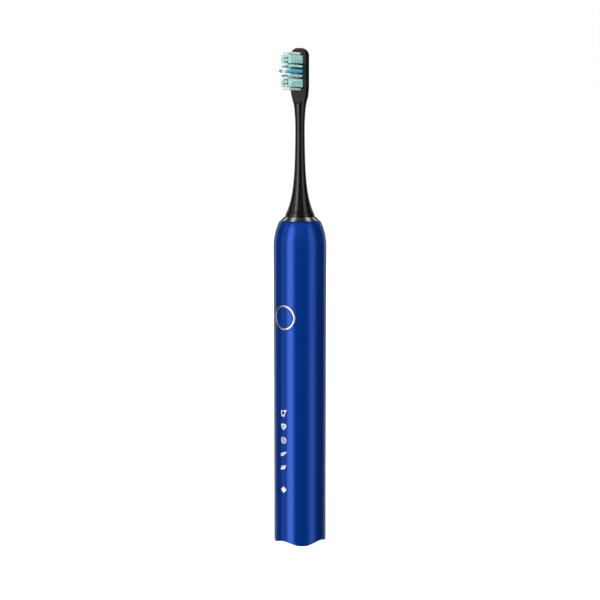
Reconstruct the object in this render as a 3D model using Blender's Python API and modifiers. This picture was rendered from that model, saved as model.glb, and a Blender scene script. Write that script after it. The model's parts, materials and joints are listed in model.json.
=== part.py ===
"""Sonic electric toothbrush, as an assembly of separate pieces.

The brush stands upright on the origin, +Z up along its axis. Its front, with the power button
and the bristles, faces -Y. All sizes are in metres.
"""
from math import cos, exp, pi, radians, sin, sqrt

import bmesh
import bpy
from mathutils import Matrix, Vector

# Fits
FIT_GAP = 0.0003            # between two pieces that meet
SLIDE_GAP = 0.00015         # round a piece that slides
RUNNING_GAP = 0.0001        # round the turning shaft
HAIR_GAP = 0.00005          # where one piece only just clears another

# Handle shell
HANDLE_RADIUS = 0.0135
HANDLE_WALL = 0.0018
HANDLE_HEIGHT = 0.1678
SHOULDER_DROP = 0.0130      # height of the stretch that draws in
SHOULDER_REACH = 0.0205     # height that a whole shoulder ellipse would have
TOP_WALL = 0.0020
RIM_LOBES = 4
RIM_WAVE = 0.00185          # height of the arches in the bottom rim
FOOT_HALF_ANGLE = radians(7.5)

# Collar
COLLAR_HEIGHT = 0.0020
COLLAR_DRAW = 0.0020        # how far its side leans in
COLLAR_RIM = 0.00035        # width of its top face
COLLAR_STEP = 0.0004        # the shell's edge that shows round it
SLEEVE_WALL = 0.0005
SLEEVE_LENGTH = 0.0052
NUT_WALL = 0.0012
NUT_HEIGHT = 0.0018

# Base and charging well
BASE_RECESS = 0.0026
BASE_FLOOR = 0.0020
SKIRT_HEIGHT = 0.0060
SKIRT_WALL = 0.0012
SEAL_HEIGHT = 0.0016
SEAL_DEPTH = 0.0008
WELL_RADIUS = 0.0045
WELL_WALL = 0.0010
WELL_DEPTH = 0.0110
COIL_DEPTH = 0.0028
COIL_HEIGHT = 0.0065

# Power button
BUTTON_DROP = 0.0488        # from the shell's top down to its centre
BUTTON_RADIUS = 0.0053
BUTTON_FACE = 0.0025        # thickness of the cap at its middle
BUTTON_TRAVEL = 0.0004
BEZEL_WIDTH = 0.0010
BEZEL_PROUD = 0.00005
STEM_RADIUS = 0.0015
MEMBRANE = 0.0005

# Frame, battery and board
FRAME_WALL = 0.0013
FRAME_FLOOR = 0.0016
BATTERY_LENGTH = 0.0650
CONTACT = 0.0004
CONTACT_SHARE = 0.6         # of the cell's radius
BOARD = 0.0012
BOARD_DEPTH = 0.0040        # from the shell's inner wall to the board's face
BOARD_RISE = 0.0055         # the board's top above the button's centre
SWITCH_SIZE = 0.0060
SWITCH_DEPTH = 0.0013
PLUNGER_RADIUS = 0.0012
PLUNGER_LENGTH = 0.0008
CHIP_SIZE = 0.0050
CHIP_HEIGHT = 0.0010
LIGHT_TOP = 0.0696          # height of the uppermost mode light
LIGHT_PITCH = 0.0071
LIGHT_COUNT = 5
LIGHT_RADIUS = 0.0011
LIGHT_LENGTH = 0.0010
BATTERY_LIGHT = 0.0294      # height of the battery light
BAFFLE_HALF_WIDTH = 0.0026
BAFFLE_MARGIN = 0.0022

# Motor and shaft
MOTOR_LENGTH = 0.0290
MOTOR_WALL = 0.0008
BUSH_WALL = 0.0012
BUSH_HEIGHT = 0.0024
SHAFT_RADIUS = 0.00175
SHAFT_REACH = 0.0202        # how far the shaft stands out of the handle shell
SHAFT_FLAT = 0.0006         # depth of the flat that keeps the head facing the front
FLAT_LENGTH = 0.0140
CORE_DEPTH = 0.0052
CORE_HEIGHT = 0.0170
MAGNET = 0.0016
STATOR_WALL = 0.0009
STATOR_SWING = 0.0005       # room for the corners of the magnets
COIL_WALL = 0.0010
DAMPER = 0.0020
SEAL_FLANGE = 0.0015
SEAL_TAPER = 0.5            # how far the boot thins towards its lip

# Brush head
HEAD_LENGTH = 0.0856        # from the skirt's lower edge to the top
SKIRT_SINK = 0.00025        # how deep the head's skirt sits in the collar
NECK_RADIUS = 0.0023
FLARE_EXTRA = 0.00063       # how far the flare's curve would pass the skirt
FLARE_LENGTH = 0.0104
WAIST_RISE = 0.04165        # the thinnest place of the neck, above the skirt's lower edge
FACE_WIDTH = 0.0104
FACE_LENGTH = 0.0283        # flat face, from the ledge to the top
FACE_OFFSET = 0.0017        # the flat face, in front of the axis
HEAD_BACK = 0.0026          # how far the head's back stands behind the axis
LEDGE_RISE = 0.0100         # height of the arched end of the flat face
NECK_SWELL = 0.00085        # how much the neck grows again below the face
SWELL_POWER = 2.5           # how late that growth comes
SWELL_LIMIT = 1.3           # where it stops, in lengths from the waist to the face
FACE_SQUARENESS = 0.7       # how much squarer than an ellipse the head is
LEDGE_LEAD = 0.1            # how far below the ledge the head starts to spread
CROWN = 0.0040              # height of the rounded top
CROWN_DEPTH = 0.55          # what is left of the head's depth behind the axis at its very top
SOCKET_WALL = 0.0004
SOCKET_FLANGE = 0.0010
CLIP_LENGTH = 0.0080
CLIP_HALF_WIDTH = 0.0006
CLIP = 0.00035

# Bristles
FIELD_DROP = 0.0119         # from the head's top to the middle of the bristles
ROOT_DEPTH = 0.0012
COLUMN_OFFSET = 0.00235
SMALL_OFFSET = 0.0024
WIDE_OFFSET = 0.00593
END_OFFSET = 0.0089
MIDDLE_START = 0.0033       # first of the small white tufts above and below the centre one
MIDDLE_PITCH = 0.00205
MIDDLE_COUNT = 3
BLUE_RADIUS = 0.0009
SMALL_RADIUS = 0.00075
MIDDLE_RADIUS = 0.00066
CENTRE_RADIUS = 0.0012
WIDE_HALF = (0.00085, 0.00206)
END_HALF = (0.0019, 0.00062)
BRISTLE_LENGTH = 0.0098
BLUE_EXTRA = 0.0017
ROOT_FIT = 0.00008

# Numbers of facets
LARGE_STEPS = 48
SMALL_STEPS = 24
TINY_STEPS = 12

SKIRT_LOOPS = 0.0035        # height of the skirt's evenly spaced loops
LOOP_CROWDING = 1.3         # how the neck's loops crowd towards the skirt

MERGE = 0.000001
BEYOND = 0.002              # how far a cutter runs past what it cuts

# Colours
BLUE_METAL = (0.010, 0.075, 0.235)
SILVER = (0.78, 0.79, 0.80)
STEEL = (0.55, 0.56, 0.58)
BLACK = (0.008, 0.008, 0.009)
DARK_RUBBER = (0.03, 0.03, 0.032)
WHITE = (0.85, 0.86, 0.87)
MINT = (0.36, 0.70, 0.64)
AQUA = (0.06, 0.40, 0.62)
COPPER = (0.62, 0.28, 0.12)
BOARD_GREEN = (0.02, 0.14, 0.07)
CELL_WRAP = (0.05, 0.18, 0.42)
BRASS = (0.60, 0.44, 0.18)


# Places worked out from the sizes

inner_radius = HANDLE_RADIUS - HANDLE_WALL
frame_outer = inner_radius - FIT_GAP
frame_inner = frame_outer - FRAME_WALL

shoulder_start = HANDLE_HEIGHT - SHOULDER_DROP
button_height = HANDLE_HEIGHT - BUTTON_DROP


def shoulder_radius(height):
    """Outer radius of the handle at a height, straight up to the shoulder and then drawn in."""
    rise = max(0.0, height - shoulder_start)
    return HANDLE_RADIUS * sqrt(1.0 - (rise / SHOULDER_REACH) ** 2)


collar_base_radius = shoulder_radius(HANDLE_HEIGHT) - COLLAR_STEP
collar_top_radius = collar_base_radius - COLLAR_DRAW
collar_bore = collar_top_radius - COLLAR_RIM
sleeve_outer = collar_bore + SLEEVE_WALL
collar_bottom = HANDLE_HEIGHT + SLIDE_GAP
collar_top = collar_bottom + COLLAR_HEIGHT
sleeve_bottom = collar_bottom - SLEEVE_LENGTH
nut_inner = sleeve_outer + SLIDE_GAP
nut_outer = nut_inner + NUT_WALL

well_top = BASE_RECESS + WELL_DEPTH + WELL_WALL
frame_bottom = well_top + FIT_GAP
frame_floor_top = frame_bottom + FRAME_FLOOR
lower_contact = frame_floor_top + FIT_GAP
battery_bottom = lower_contact + CONTACT + FIT_GAP
battery_top = battery_bottom + BATTERY_LENGTH
upper_contact = battery_top + FIT_GAP
battery_stop = upper_contact + CONTACT + FIT_GAP

board_face = -(inner_radius - BOARD_DEPTH)
board_back = board_face + BOARD
board_bottom = frame_floor_top + FIT_GAP
board_top = button_height + BOARD_RISE
battery_front = board_back + FIT_GAP
battery_radius = (frame_inner - battery_front) / 2 - FIT_GAP
battery_axis = frame_inner - FIT_GAP - battery_radius

motor_seat = board_top + FIT_GAP
motor_bottom = motor_seat + FRAME_FLOOR + FIT_GAP
motor_radius = frame_inner - FIT_GAP
motor_bore = motor_radius - MOTOR_WALL
motor_lid = motor_bottom + MOTOR_LENGTH
shaft_hole = SHAFT_RADIUS + RUNNING_GAP
bush_outer = shaft_hole + BUSH_WALL
shaft_bottom = motor_bottom + MOTOR_WALL
shaft_top = HANDLE_HEIGHT + SHAFT_REACH
core_bottom = motor_bottom + (MOTOR_LENGTH - CORE_HEIGHT) / 2
stator_outer = motor_bore - FIT_GAP
coil_outer = stator_outer - STATOR_WALL - FIT_GAP
coil_inner = coil_outer - COIL_WALL
magnet_outer = sqrt((coil_inner - STATOR_SWING) ** 2 - (CORE_DEPTH / 2) ** 2)
magnet_inner = magnet_outer - MAGNET
core_half_width = magnet_inner - SLIDE_GAP

button_back = -(HANDLE_RADIUS - BUTTON_FACE)
bezel_bore = BUTTON_RADIUS + SLIDE_GAP
bezel_outer = bezel_bore + BEZEL_WIDTH
bezel_back = -sqrt(inner_radius ** 2 - bezel_outer ** 2)
switch_back = board_face - FIT_GAP
switch_front = switch_back - SWITCH_DEPTH
plunger_front = switch_front - BUTTON_TRAVEL + HAIR_GAP
stem_end = plunger_front - RUNNING_GAP

head_radius = collar_bore - SLIDE_GAP
head_bottom = collar_top - SKIRT_SINK
head_top = head_bottom + HEAD_LENGTH
waist_height = head_bottom + WAIST_RISE
face_bottom = head_top - FACE_LENGTH
ledge_centre = face_bottom + LEDGE_RISE
field_centre = head_top - FIELD_DROP
socket_bore = SHAFT_RADIUS + SLIDE_GAP
socket_outer = socket_bore + SOCKET_WALL
head_bore = socket_outer + SLIDE_GAP
bore_top = shaft_top + 2 * FIT_GAP + SOCKET_FLANGE


# Scene, materials and small helpers

for leftover in list(bpy.data.objects):
    bpy.data.objects.remove(leftover, do_unlink=True)

parts = bpy.data.collections.new("electric_toothbrush")
cutters = bpy.data.collections.new("electric_toothbrush_cutters")
bpy.context.scene.collection.children.link(parts)
bpy.context.scene.collection.children.link(cutters)


def material(name, colour, roughness, metallic=0.0):
    """A Principled material of one colour."""
    made = bpy.data.materials.new(name)
    made.use_nodes = True
    shader = made.node_tree.nodes["Principled BSDF"]
    shader.inputs["Base Color"].default_value = (*colour, 1.0)
    shader.inputs["Roughness"].default_value = roughness
    shader.inputs["Metallic"].default_value = metallic
    return made


def empty(name, location):
    """An empty that pieces hang from, on the axis of the joint that moves them."""
    made = bpy.data.objects.new(name, None)
    made.location = location
    parts.objects.link(made)
    return made


def add_piece(name, mesh, parent, location, look):
    """A named piece at a place in the world, hung from its body's empty."""
    piece = bpy.data.objects.new(name, mesh)
    piece.parent = parent
    piece.location = Vector(location) - parent.location
    piece.data.materials.append(look)
    parts.objects.link(piece)
    return piece


def add_cutter(name, mesh, location):
    """A hidden solid that shapes another piece."""
    cutter = bpy.data.objects.new(name, mesh)
    cutter.location = location
    cutter.hide_render = True
    cutter.display_type = "WIRE"
    cutters.objects.link(cutter)
    return cutter


def combine(piece, other, operation):
    """A Boolean of the piece with another solid."""
    modifier = piece.modifiers.new(operation.lower(), "BOOLEAN")
    modifier.operation = operation
    modifier.object = other
    return modifier


def round_edges(piece, width, segments=2):
    """Rounded edges, where two faces meet at a clear angle."""
    bevel = piece.modifiers.new("rounded_edges", "BEVEL")
    bevel.width = width
    bevel.segments = segments
    bevel.limit_method = "ANGLE"
    bevel.angle_limit = radians(35)
    return bevel


def profile_mesh(name, points, closed):
    """A profile of edges in the XZ plane."""
    mesh = bpy.data.meshes.new(name)
    edges = [(i, i + 1) for i in range(len(points) - 1)]
    if closed:
        edges.append((len(points) - 1, 0))
    mesh.from_pydata([(x, 0.0, z) for x, z in points], edges, [])
    return mesh


def spin_profile(thing, steps):
    """A Screw modifier that turns a profile into a round solid."""
    screw = thing.modifiers.new("turned", "SCREW")
    screw.steps = steps
    screw.render_steps = steps
    screw.use_merge_vertices = True
    screw.merge_threshold = MERGE
    return screw


def turned(name, points, parent, location, look, steps=LARGE_STEPS, closed=False):
    """A round piece: a profile whose outer side runs down, turned about its local Z axis."""
    piece = add_piece(name, profile_mesh(name, points, closed), parent, location, look)
    spin_profile(piece, steps)
    return piece


def turned_cutter(name, points, location, steps=LARGE_STEPS, closed=False):
    """A round cutter."""
    cutter = add_cutter(name, profile_mesh(name, points, closed), location)
    spin_profile(cutter, steps)
    return cutter


def ring_profile(inner, outer, height):
    """The square section of a plain ring."""
    return [(outer, height), (outer, 0.0), (inner, 0.0), (inner, height)]


def ring(name, inner, outer, height, parent, location, look, steps=LARGE_STEPS):
    """A plain ring that stands on its location."""
    return turned(name, ring_profile(inner, outer, height), parent, location, look, steps, closed=True)


def cylinder_mesh(name, radius, length, steps=SMALL_STEPS, tip_radius=None, along="Z"):
    """A cylinder, or a cone with its tip at the far end, from the local origin along one axis."""
    mesh = bpy.data.meshes.new(name)
    bm = bmesh.new()
    far_radius = radius if tip_radius is None else tip_radius
    bmesh.ops.create_cone(bm, cap_ends=True, segments=steps, radius1=radius, radius2=far_radius,
                          depth=length)
    bmesh.ops.translate(bm, verts=bm.verts, vec=(0.0, 0.0, length / 2))
    if along == "-Y":
        bmesh.ops.rotate(bm, verts=bm.verts, cent=(0.0, 0.0, 0.0), matrix=Matrix.Rotation(pi / 2, 3, "X"))
    bm.to_mesh(mesh)
    bm.free()
    mesh.shade_smooth()
    mesh.set_sharp_from_angle(angle=radians(40))
    return mesh


def box_mesh(name, low, high):
    """A box between two corners."""
    mesh = bpy.data.meshes.new(name)
    bm = bmesh.new()
    bmesh.ops.create_cube(bm, size=1.0)
    low = Vector(low)
    high = Vector(high)
    size = high - low
    bmesh.ops.scale(bm, verts=bm.verts, vec=size)
    bmesh.ops.translate(bm, verts=bm.verts, vec=(low + high) / 2)
    bm.to_mesh(mesh)
    bm.free()
    return mesh


blue_metal = material("blue_metal", BLUE_METAL, 0.30, 0.9)
silver = material("silver", SILVER, 0.22, 1.0)
chrome = material("chrome", SILVER, 0.08, 1.0)
steel = material("steel", STEEL, 0.30, 1.0)
gloss_black = material("gloss_black", BLACK, 0.12)
dark_rubber = material("dark_rubber", DARK_RUBBER, 0.75)
white_plastic = material("white_plastic", WHITE, 0.40)
white_bristle = material("white_bristle", WHITE, 0.55)
mint_bristle = material("mint_bristle", MINT, 0.55)
aqua_bristle = material("aqua_bristle", AQUA, 0.50)
copper = material("copper", COPPER, 0.35, 1.0)
board_green = material("board_green", BOARD_GREEN, 0.45)
cell_wrap = material("cell_wrap", CELL_WRAP, 0.35)
brass = material("brass", BRASS, 0.30, 1.0)
light_white = material("light_white", WHITE, 0.20)

handle = empty("handle_body", (0.0, 0.0, 0.0))
drive = empty("drive_axis", (0.0, 0.0, shaft_bottom))
head = empty("head_axis", (0.0, 0.0, head_bottom))
button = empty("button_axis", (0.0, button_back, button_height))
plunger = empty("plunger_axis", (0.0, plunger_front, button_height))


# Handle shell

def rim_height(angle):
    """Height of the bottom rim: flat on the feet and arched between them."""
    rise = cos(RIM_LOBES / 2 * angle) ** 2
    flat = sin(RIM_LOBES / 2 * FOOT_HALF_ANGLE) ** 2
    return RIM_WAVE * max(0.0, rise - flat) / (1.0 - flat)


def wavy_cutter_mesh():
    """A disc below the handle whose top follows the rim."""
    mesh = bpy.data.meshes.new("rim_wave")
    bm = bmesh.new()
    outer = HANDLE_RADIUS + BEYOND
    wave_width = HANDLE_WALL + 2 * BEYOND
    bmesh.ops.create_cone(bm, cap_ends=True, segments=LARGE_STEPS, radius1=outer, radius2=outer,
                          depth=BEYOND)
    bmesh.ops.translate(bm, verts=bm.verts, vec=(0.0, 0.0, -BEYOND / 2))
    top = [face for face in bm.faces if face.normal.z > 0.5]
    bmesh.ops.inset_region(bm, faces=top, thickness=wave_width, use_even_offset=False)
    top = [face for face in bm.faces if face.normal.z > 0.5 and len(face.verts) > 4]
    bmesh.ops.poke(bm, faces=top)
    for vert in bm.verts:
        if vert.co.z > -BEYOND / 2 and vert.co.xy.length > BEYOND:
            vert.co.z = rim_height(vert.co.xy.angle_signed(Vector((1.0, 0.0))))
    bm.to_mesh(mesh)
    bm.free()
    return mesh


def shell_profile():
    """Section of the handle shell, down its outer side and up its inner side."""
    bends = 8
    heights = [HANDLE_HEIGHT - SHOULDER_DROP * i / bends for i in range(bends + 1)]
    outer = [(shoulder_radius(height), height) for height in heights]
    ceiling = HANDLE_HEIGHT - TOP_WALL
    inner_heights = [height for height in reversed(heights) if height < ceiling] + [ceiling]
    nut_seat = nut_outer + HAIR_GAP
    inner = [(max(shoulder_radius(height) - HANDLE_WALL, nut_seat), height) for height in inner_heights]
    mouth = sleeve_outer + SLIDE_GAP
    return outer + [(HANDLE_RADIUS, 0.0), (inner_radius, 0.0)] + inner + [(mouth, ceiling),
                                                                         (mouth, HANDLE_HEIGHT)]


def make_handle_shell():
    """The tube with its shoulder, its wavy rim and the hole for the button's ring."""
    shell = turned("handle_shell", shell_profile(), handle, (0.0, 0.0, 0.0), blue_metal, closed=True)
    combine(shell, add_cutter("rim_wave", wavy_cutter_mesh(), (0.0, 0.0, 0.0)), "DIFFERENCE")
    hole = cylinder_mesh("button_hole", bezel_outer + SLIDE_GAP, HANDLE_RADIUS + BEYOND,
                         LARGE_STEPS, along="-Y")
    combine(shell, add_cutter("button_hole", hole, (0.0, 0.0, button_height)), "DIFFERENCE")


def make_collar():
    """The polished cone, its sleeve through the shell's mouth, and the nut that holds it."""
    profile = [(collar_top_radius, COLLAR_HEIGHT), (collar_base_radius, 0.0), (sleeve_outer, 0.0),
               (sleeve_outer, -SLEEVE_LENGTH), (collar_bore, -SLEEVE_LENGTH),
               (collar_bore, COLLAR_HEIGHT)]
    turned("top_collar", profile, handle, (0.0, 0.0, collar_bottom), chrome, closed=True)
    nut_bottom = HANDLE_HEIGHT - TOP_WALL - FIT_GAP - NUT_HEIGHT
    ring("collar_nut", nut_inner, nut_outer, NUT_HEIGHT, handle, (0.0, 0.0, nut_bottom), steel, SMALL_STEPS)


def make_shaft_seal():
    """The rubber boot that closes the collar round the shaft."""
    outer = collar_bore - FIT_GAP
    hole = SHAFT_RADIUS + FIT_GAP
    boot_height = head_bottom - FIT_GAP - sleeve_bottom
    boot_radius = (outer + hole) / 2
    lip_radius = hole + SEAL_TAPER * (boot_radius - hole)
    profile = [(lip_radius, boot_height), (boot_radius, SEAL_FLANGE), (outer, SEAL_FLANGE),
               (outer, 0.0), (hole, 0.0), (hole, boot_height)]
    turned("shaft_seal", profile, handle, (0.0, 0.0, sleeve_bottom), dark_rubber, SMALL_STEPS,
           closed=True)


# Base

def make_base():
    """The cap with the charging well, its seal and the coil round the well."""
    outer = inner_radius - FIT_GAP
    skirt_inner = outer - SKIRT_WALL
    well_outer = WELL_RADIUS + WELL_WALL
    groove_bottom = (SKIRT_HEIGHT - SEAL_HEIGHT) / 2
    groove_top = groove_bottom + SEAL_HEIGHT
    groove_radius = outer - SEAL_DEPTH
    profile = [(0.0, WELL_DEPTH + WELL_WALL), (well_outer, WELL_DEPTH + WELL_WALL),
               (well_outer, BASE_FLOOR), (skirt_inner, BASE_FLOOR), (skirt_inner, SKIRT_HEIGHT),
               (outer, SKIRT_HEIGHT), (outer, groove_top), (groove_radius, groove_top),
               (groove_radius, groove_bottom), (outer, groove_bottom), (outer, 0.0),
               (WELL_RADIUS, 0.0), (WELL_RADIUS, WELL_DEPTH), (0.0, WELL_DEPTH)]
    turned("base_cap", profile, handle, (0.0, 0.0, BASE_RECESS), gloss_black)
    ring("base_seal", groove_radius + RUNNING_GAP, inner_radius - RUNNING_GAP,
         SEAL_HEIGHT - 2 * RUNNING_GAP, handle,
         (0.0, 0.0, BASE_RECESS + groove_bottom + RUNNING_GAP), dark_rubber)
    winding = well_outer + FIT_GAP
    ring("charging_coil", winding, winding + COIL_DEPTH, COIL_HEIGHT, handle,
         (0.0, 0.0, BASE_RECESS + BASE_FLOOR + FIT_GAP), copper, SMALL_STEPS)


# Button

def round_front(name, radius):
    """An upright cylinder at the button's height that trims a piece to the handle's round front."""
    half = bezel_outer + BEYOND
    profile = [(0.0, half), (radius, half), (radius, -half), (0.0, -half)]
    return turned_cutter(name, profile, (0.0, 0.0, button_height))


def make_button():
    """The silver ring, the cap that slides in it and the rubber membrane behind the cap."""
    sleeve = cylinder_mesh("button_ring", bezel_outer, HANDLE_RADIUS, LARGE_STEPS, along="-Y")
    bezel = add_piece("button_ring", sleeve, handle, (0.0, bezel_back, button_height), silver)
    bore = cylinder_mesh("bezel_bore", bezel_bore, HANDLE_RADIUS + 2 * BEYOND, LARGE_STEPS, along="-Y")
    bore_place = (0.0, bezel_back + BEYOND, button_height)
    combine(bezel, add_cutter("bezel_bore", bore, bore_place), "DIFFERENCE")
    combine(bezel, round_front("bezel_front", HANDLE_RADIUS + BEZEL_PROUD), "INTERSECT")

    cap_mesh = cylinder_mesh("button_cap", BUTTON_RADIUS, BUTTON_FACE + BEYOND, LARGE_STEPS, along="-Y")
    cap = add_piece("button_cap", cap_mesh, button, (0.0, button_back, button_height), blue_metal)
    combine(cap, round_front("button_front", HANDLE_RADIUS), "INTERSECT")
    stem_length = stem_end - button_back + BUTTON_FACE / 2
    stem = cylinder_mesh("button_stem", STEM_RADIUS, stem_length, TINY_STEPS, along="-Y")
    combine(cap, add_cutter("button_stem", stem, (0.0, stem_end, button_height)), "UNION")

    skin_mesh = cylinder_mesh("button_membrane", bezel_bore - SLIDE_GAP, MEMBRANE, along="-Y")
    skin_back = button_back + BUTTON_TRAVEL + SLIDE_GAP + MEMBRANE
    skin = add_piece("button_membrane", skin_mesh, handle, (0.0, skin_back, button_height), dark_rubber)
    hole = cylinder_mesh("membrane_hole", STEM_RADIUS + FIT_GAP, MEMBRANE + 2 * BEYOND, TINY_STEPS,
                         along="-Y")
    hole_place = (0.0, skin_back + BEYOND, button_height)
    combine(skin, add_cutter("membrane_hole", hole, hole_place), "DIFFERENCE")


# Frame, battery and electronics

def make_frame():
    """The carrier: a tube that is open at the front, with a floor and two shelves."""
    height = motor_bottom + MOTOR_LENGTH / 2 - frame_bottom
    profile = [(frame_outer, height), (frame_outer, 0.0), (0.0, 0.0), (0.0, FRAME_FLOOR),
               (frame_inner, FRAME_FLOOR), (frame_inner, height)]
    frame = add_piece("inner_frame", profile_mesh("inner_frame", profile, True), handle,
                      (0.0, 0.0, frame_bottom), white_plastic)
    spin_profile(frame, LARGE_STEPS)
    shelf_radius = frame_inner + FRAME_WALL / 2
    for name, shelf in (("battery_shelf", battery_stop), ("motor_shelf", motor_seat)):
        disc = cylinder_mesh(name, shelf_radius, FRAME_FLOOR, SMALL_STEPS)
        combine(frame, add_cutter(name, disc, (0.0, 0.0, shelf)), "UNION")
    front_edge = board_back + FIT_GAP
    opening = box_mesh("frame_opening", (-HANDLE_RADIUS, -HANDLE_RADIUS, frame_floor_top),
                       (HANDLE_RADIUS, front_edge, frame_bottom + height + BEYOND))
    combine(frame, add_cutter("frame_opening", opening, (0.0, 0.0, 0.0)), "DIFFERENCE")


def make_battery():
    """The cell and the contacts at its two ends."""
    cell = cylinder_mesh("battery_cell", battery_radius, BATTERY_LENGTH, SMALL_STEPS)
    piece = add_piece("battery_cell", cell, handle, (0.0, battery_axis, battery_bottom), cell_wrap)
    round_edges(piece, FIT_GAP)
    contact_radius = battery_radius * CONTACT_SHARE
    levels = (("battery_contact_low", lower_contact), ("battery_contact_high", upper_contact))
    for name, level in levels:
        plate = cylinder_mesh(name, contact_radius, CONTACT, TINY_STEPS)
        add_piece(name, plate, handle, (0.0, battery_axis, level), brass)


def board_half_width():
    """Half of the board's width, as far as the round inside of the shell allows."""
    return sqrt(inner_radius ** 2 - board_face ** 2) - FIT_GAP


def light_heights():
    """Heights of the mode lights, from the top down."""
    return [LIGHT_TOP - LIGHT_PITCH * i for i in range(LIGHT_COUNT)]


def make_board():
    """The circuit board with its chip, switch, lights and the baffle round the lights."""
    half = board_half_width()
    slab = box_mesh("circuit_board", (-half, board_face, board_bottom), (half, board_back, board_top))
    add_piece("circuit_board", slab, handle, (0.0, 0.0, 0.0), board_green)

    chip_centre = (LIGHT_TOP + button_height) / 2
    chip_back = board_face - FIT_GAP
    half_chip = CHIP_SIZE / 2
    chip = box_mesh("controller_chip", (-half_chip, chip_back - CHIP_HEIGHT, chip_centre - half_chip),
                    (half_chip, chip_back, chip_centre + half_chip))
    add_piece("controller_chip", chip, handle, (0.0, 0.0, 0.0), gloss_black)

    body = box_mesh("tact_switch", (-SWITCH_SIZE / 2, switch_front, button_height - SWITCH_SIZE / 2),
                    (SWITCH_SIZE / 2, switch_back, button_height + SWITCH_SIZE / 2))
    switch = add_piece("tact_switch", body, handle, (0.0, 0.0, 0.0), steel)
    bore_floor = plunger_front + PLUNGER_LENGTH + BUTTON_TRAVEL + HAIR_GAP
    bore = cylinder_mesh("switch_bore", PLUNGER_RADIUS + FIT_GAP, SWITCH_DEPTH + BEYOND, TINY_STEPS,
                         along="-Y")
    combine(switch, add_cutter("switch_bore", bore, (0.0, bore_floor, button_height)), "DIFFERENCE")
    pin = cylinder_mesh("switch_plunger", PLUNGER_RADIUS, PLUNGER_LENGTH, TINY_STEPS, along="-Y")
    pin_place = (0.0, plunger_front + PLUNGER_LENGTH, button_height)
    add_piece("switch_plunger", pin, plunger, pin_place, gloss_black)

    lights = [(f"mode_light_{i + 1}", height) for i, height in enumerate(light_heights())]
    lights.append(("battery_light", BATTERY_LIGHT))
    baffle_front = -(sqrt(inner_radius ** 2 - BAFFLE_HALF_WIDTH ** 2) - FIT_GAP)
    block = box_mesh("light_baffle",
                     (-BAFFLE_HALF_WIDTH, baffle_front, BATTERY_LIGHT - BAFFLE_MARGIN),
                     (BAFFLE_HALF_WIDTH, board_face - FIT_GAP, LIGHT_TOP + BAFFLE_MARGIN))
    baffle = add_piece("light_baffle", block, handle, (0.0, 0.0, 0.0), white_plastic)
    for name, height in lights:
        lamp = cylinder_mesh(name, LIGHT_RADIUS, LIGHT_LENGTH, TINY_STEPS, along="-Y")
        add_piece(name, lamp, handle, (0.0, board_face - FIT_GAP, height), light_white)
        hole = cylinder_mesh(name + "_hole", LIGHT_RADIUS + FIT_GAP, BOARD_DEPTH + BEYOND, TINY_STEPS,
                             along="-Y")
        hole_place = (0.0, board_face + BEYOND / 2, height)
        combine(baffle, add_cutter(name + "_hole", hole, hole_place), "DIFFERENCE")


# Motor and drive

def make_motor():
    """The motor's still parts: case, lid, bushes, stator and the damper on top."""
    bush_seat = bush_outer + SLIDE_GAP
    case = [(motor_radius, MOTOR_LENGTH), (motor_radius, 0.0), (bush_seat, 0.0),
            (bush_seat, MOTOR_WALL), (motor_bore, MOTOR_WALL), (motor_bore, MOTOR_LENGTH)]
    turned("motor_case", case, handle, (0.0, 0.0, motor_bottom), steel, SMALL_STEPS, closed=True)
    ring("rear_bush", shaft_hole, bush_outer, BUSH_HEIGHT, handle, (0.0, 0.0, motor_bottom), brass,
         SMALL_STEPS)

    lid = motor_lid + FIT_GAP
    ring("motor_end_cap", bush_seat, motor_radius, 2 * MOTOR_WALL, handle, (0.0, 0.0, lid), steel,
         SMALL_STEPS)
    ring("front_bush", shaft_hole, bush_outer, BUSH_HEIGHT, handle, (0.0, 0.0, lid), brass, SMALL_STEPS)
    damper_bottom = lid + 2 * MOTOR_WALL + FIT_GAP
    ring("motor_damper", bush_outer + 2 * FIT_GAP, motor_radius - FRAME_WALL, DAMPER, handle,
         (0.0, 0.0, damper_bottom), dark_rubber, SMALL_STEPS)

    ring("stator_coil", coil_inner, coil_outer, CORE_HEIGHT, handle, (0.0, 0.0, core_bottom), copper,
         SMALL_STEPS)
    ring("stator_core", coil_outer + FIT_GAP, stator_outer, CORE_HEIGHT, handle,
         (0.0, 0.0, core_bottom), steel, SMALL_STEPS)


def make_drive():
    """The turning parts: shaft, core and the two magnets."""
    length = shaft_top - shaft_bottom
    shaft = add_piece("drive_shaft", cylinder_mesh("drive_shaft", SHAFT_RADIUS, length), drive,
                      (0.0, 0.0, shaft_bottom), steel)
    flat_face = -(SHAFT_RADIUS - SHAFT_FLAT)
    flat_bottom = shaft_top - FLAT_LENGTH
    flat = box_mesh("shaft_flat", (-SHAFT_RADIUS - BEYOND, flat_face - BEYOND, flat_bottom),
                    (SHAFT_RADIUS + BEYOND, flat_face, shaft_top + BEYOND))
    combine(shaft, add_cutter("shaft_flat", flat, (0.0, 0.0, 0.0)), "DIFFERENCE")
    round_edges(shaft, SLIDE_GAP, 1)

    depth = CORE_DEPTH / 2
    core_mesh = box_mesh("rotor_core", (-core_half_width, -depth, 0.0), (core_half_width, depth, CORE_HEIGHT))
    core = add_piece("rotor_core", core_mesh, drive, (0.0, 0.0, core_bottom), steel)
    hole = cylinder_mesh("core_hole", SHAFT_RADIUS + RUNNING_GAP, CORE_HEIGHT + 2 * BEYOND)
    combine(core, add_cutter("core_hole", hole, (0.0, 0.0, core_bottom - BEYOND)), "DIFFERENCE")
    for name, side in (("rotor_magnet_left", -1), ("rotor_magnet_right", 1)):
        ends = sorted((side * magnet_inner, side * magnet_outer))
        block = box_mesh(name, (ends[0], -depth, 0.0), (ends[1], depth, CORE_HEIGHT))
        add_piece(name, block, drive, (0.0, 0.0, core_bottom), silver)


# Brush head

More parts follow.
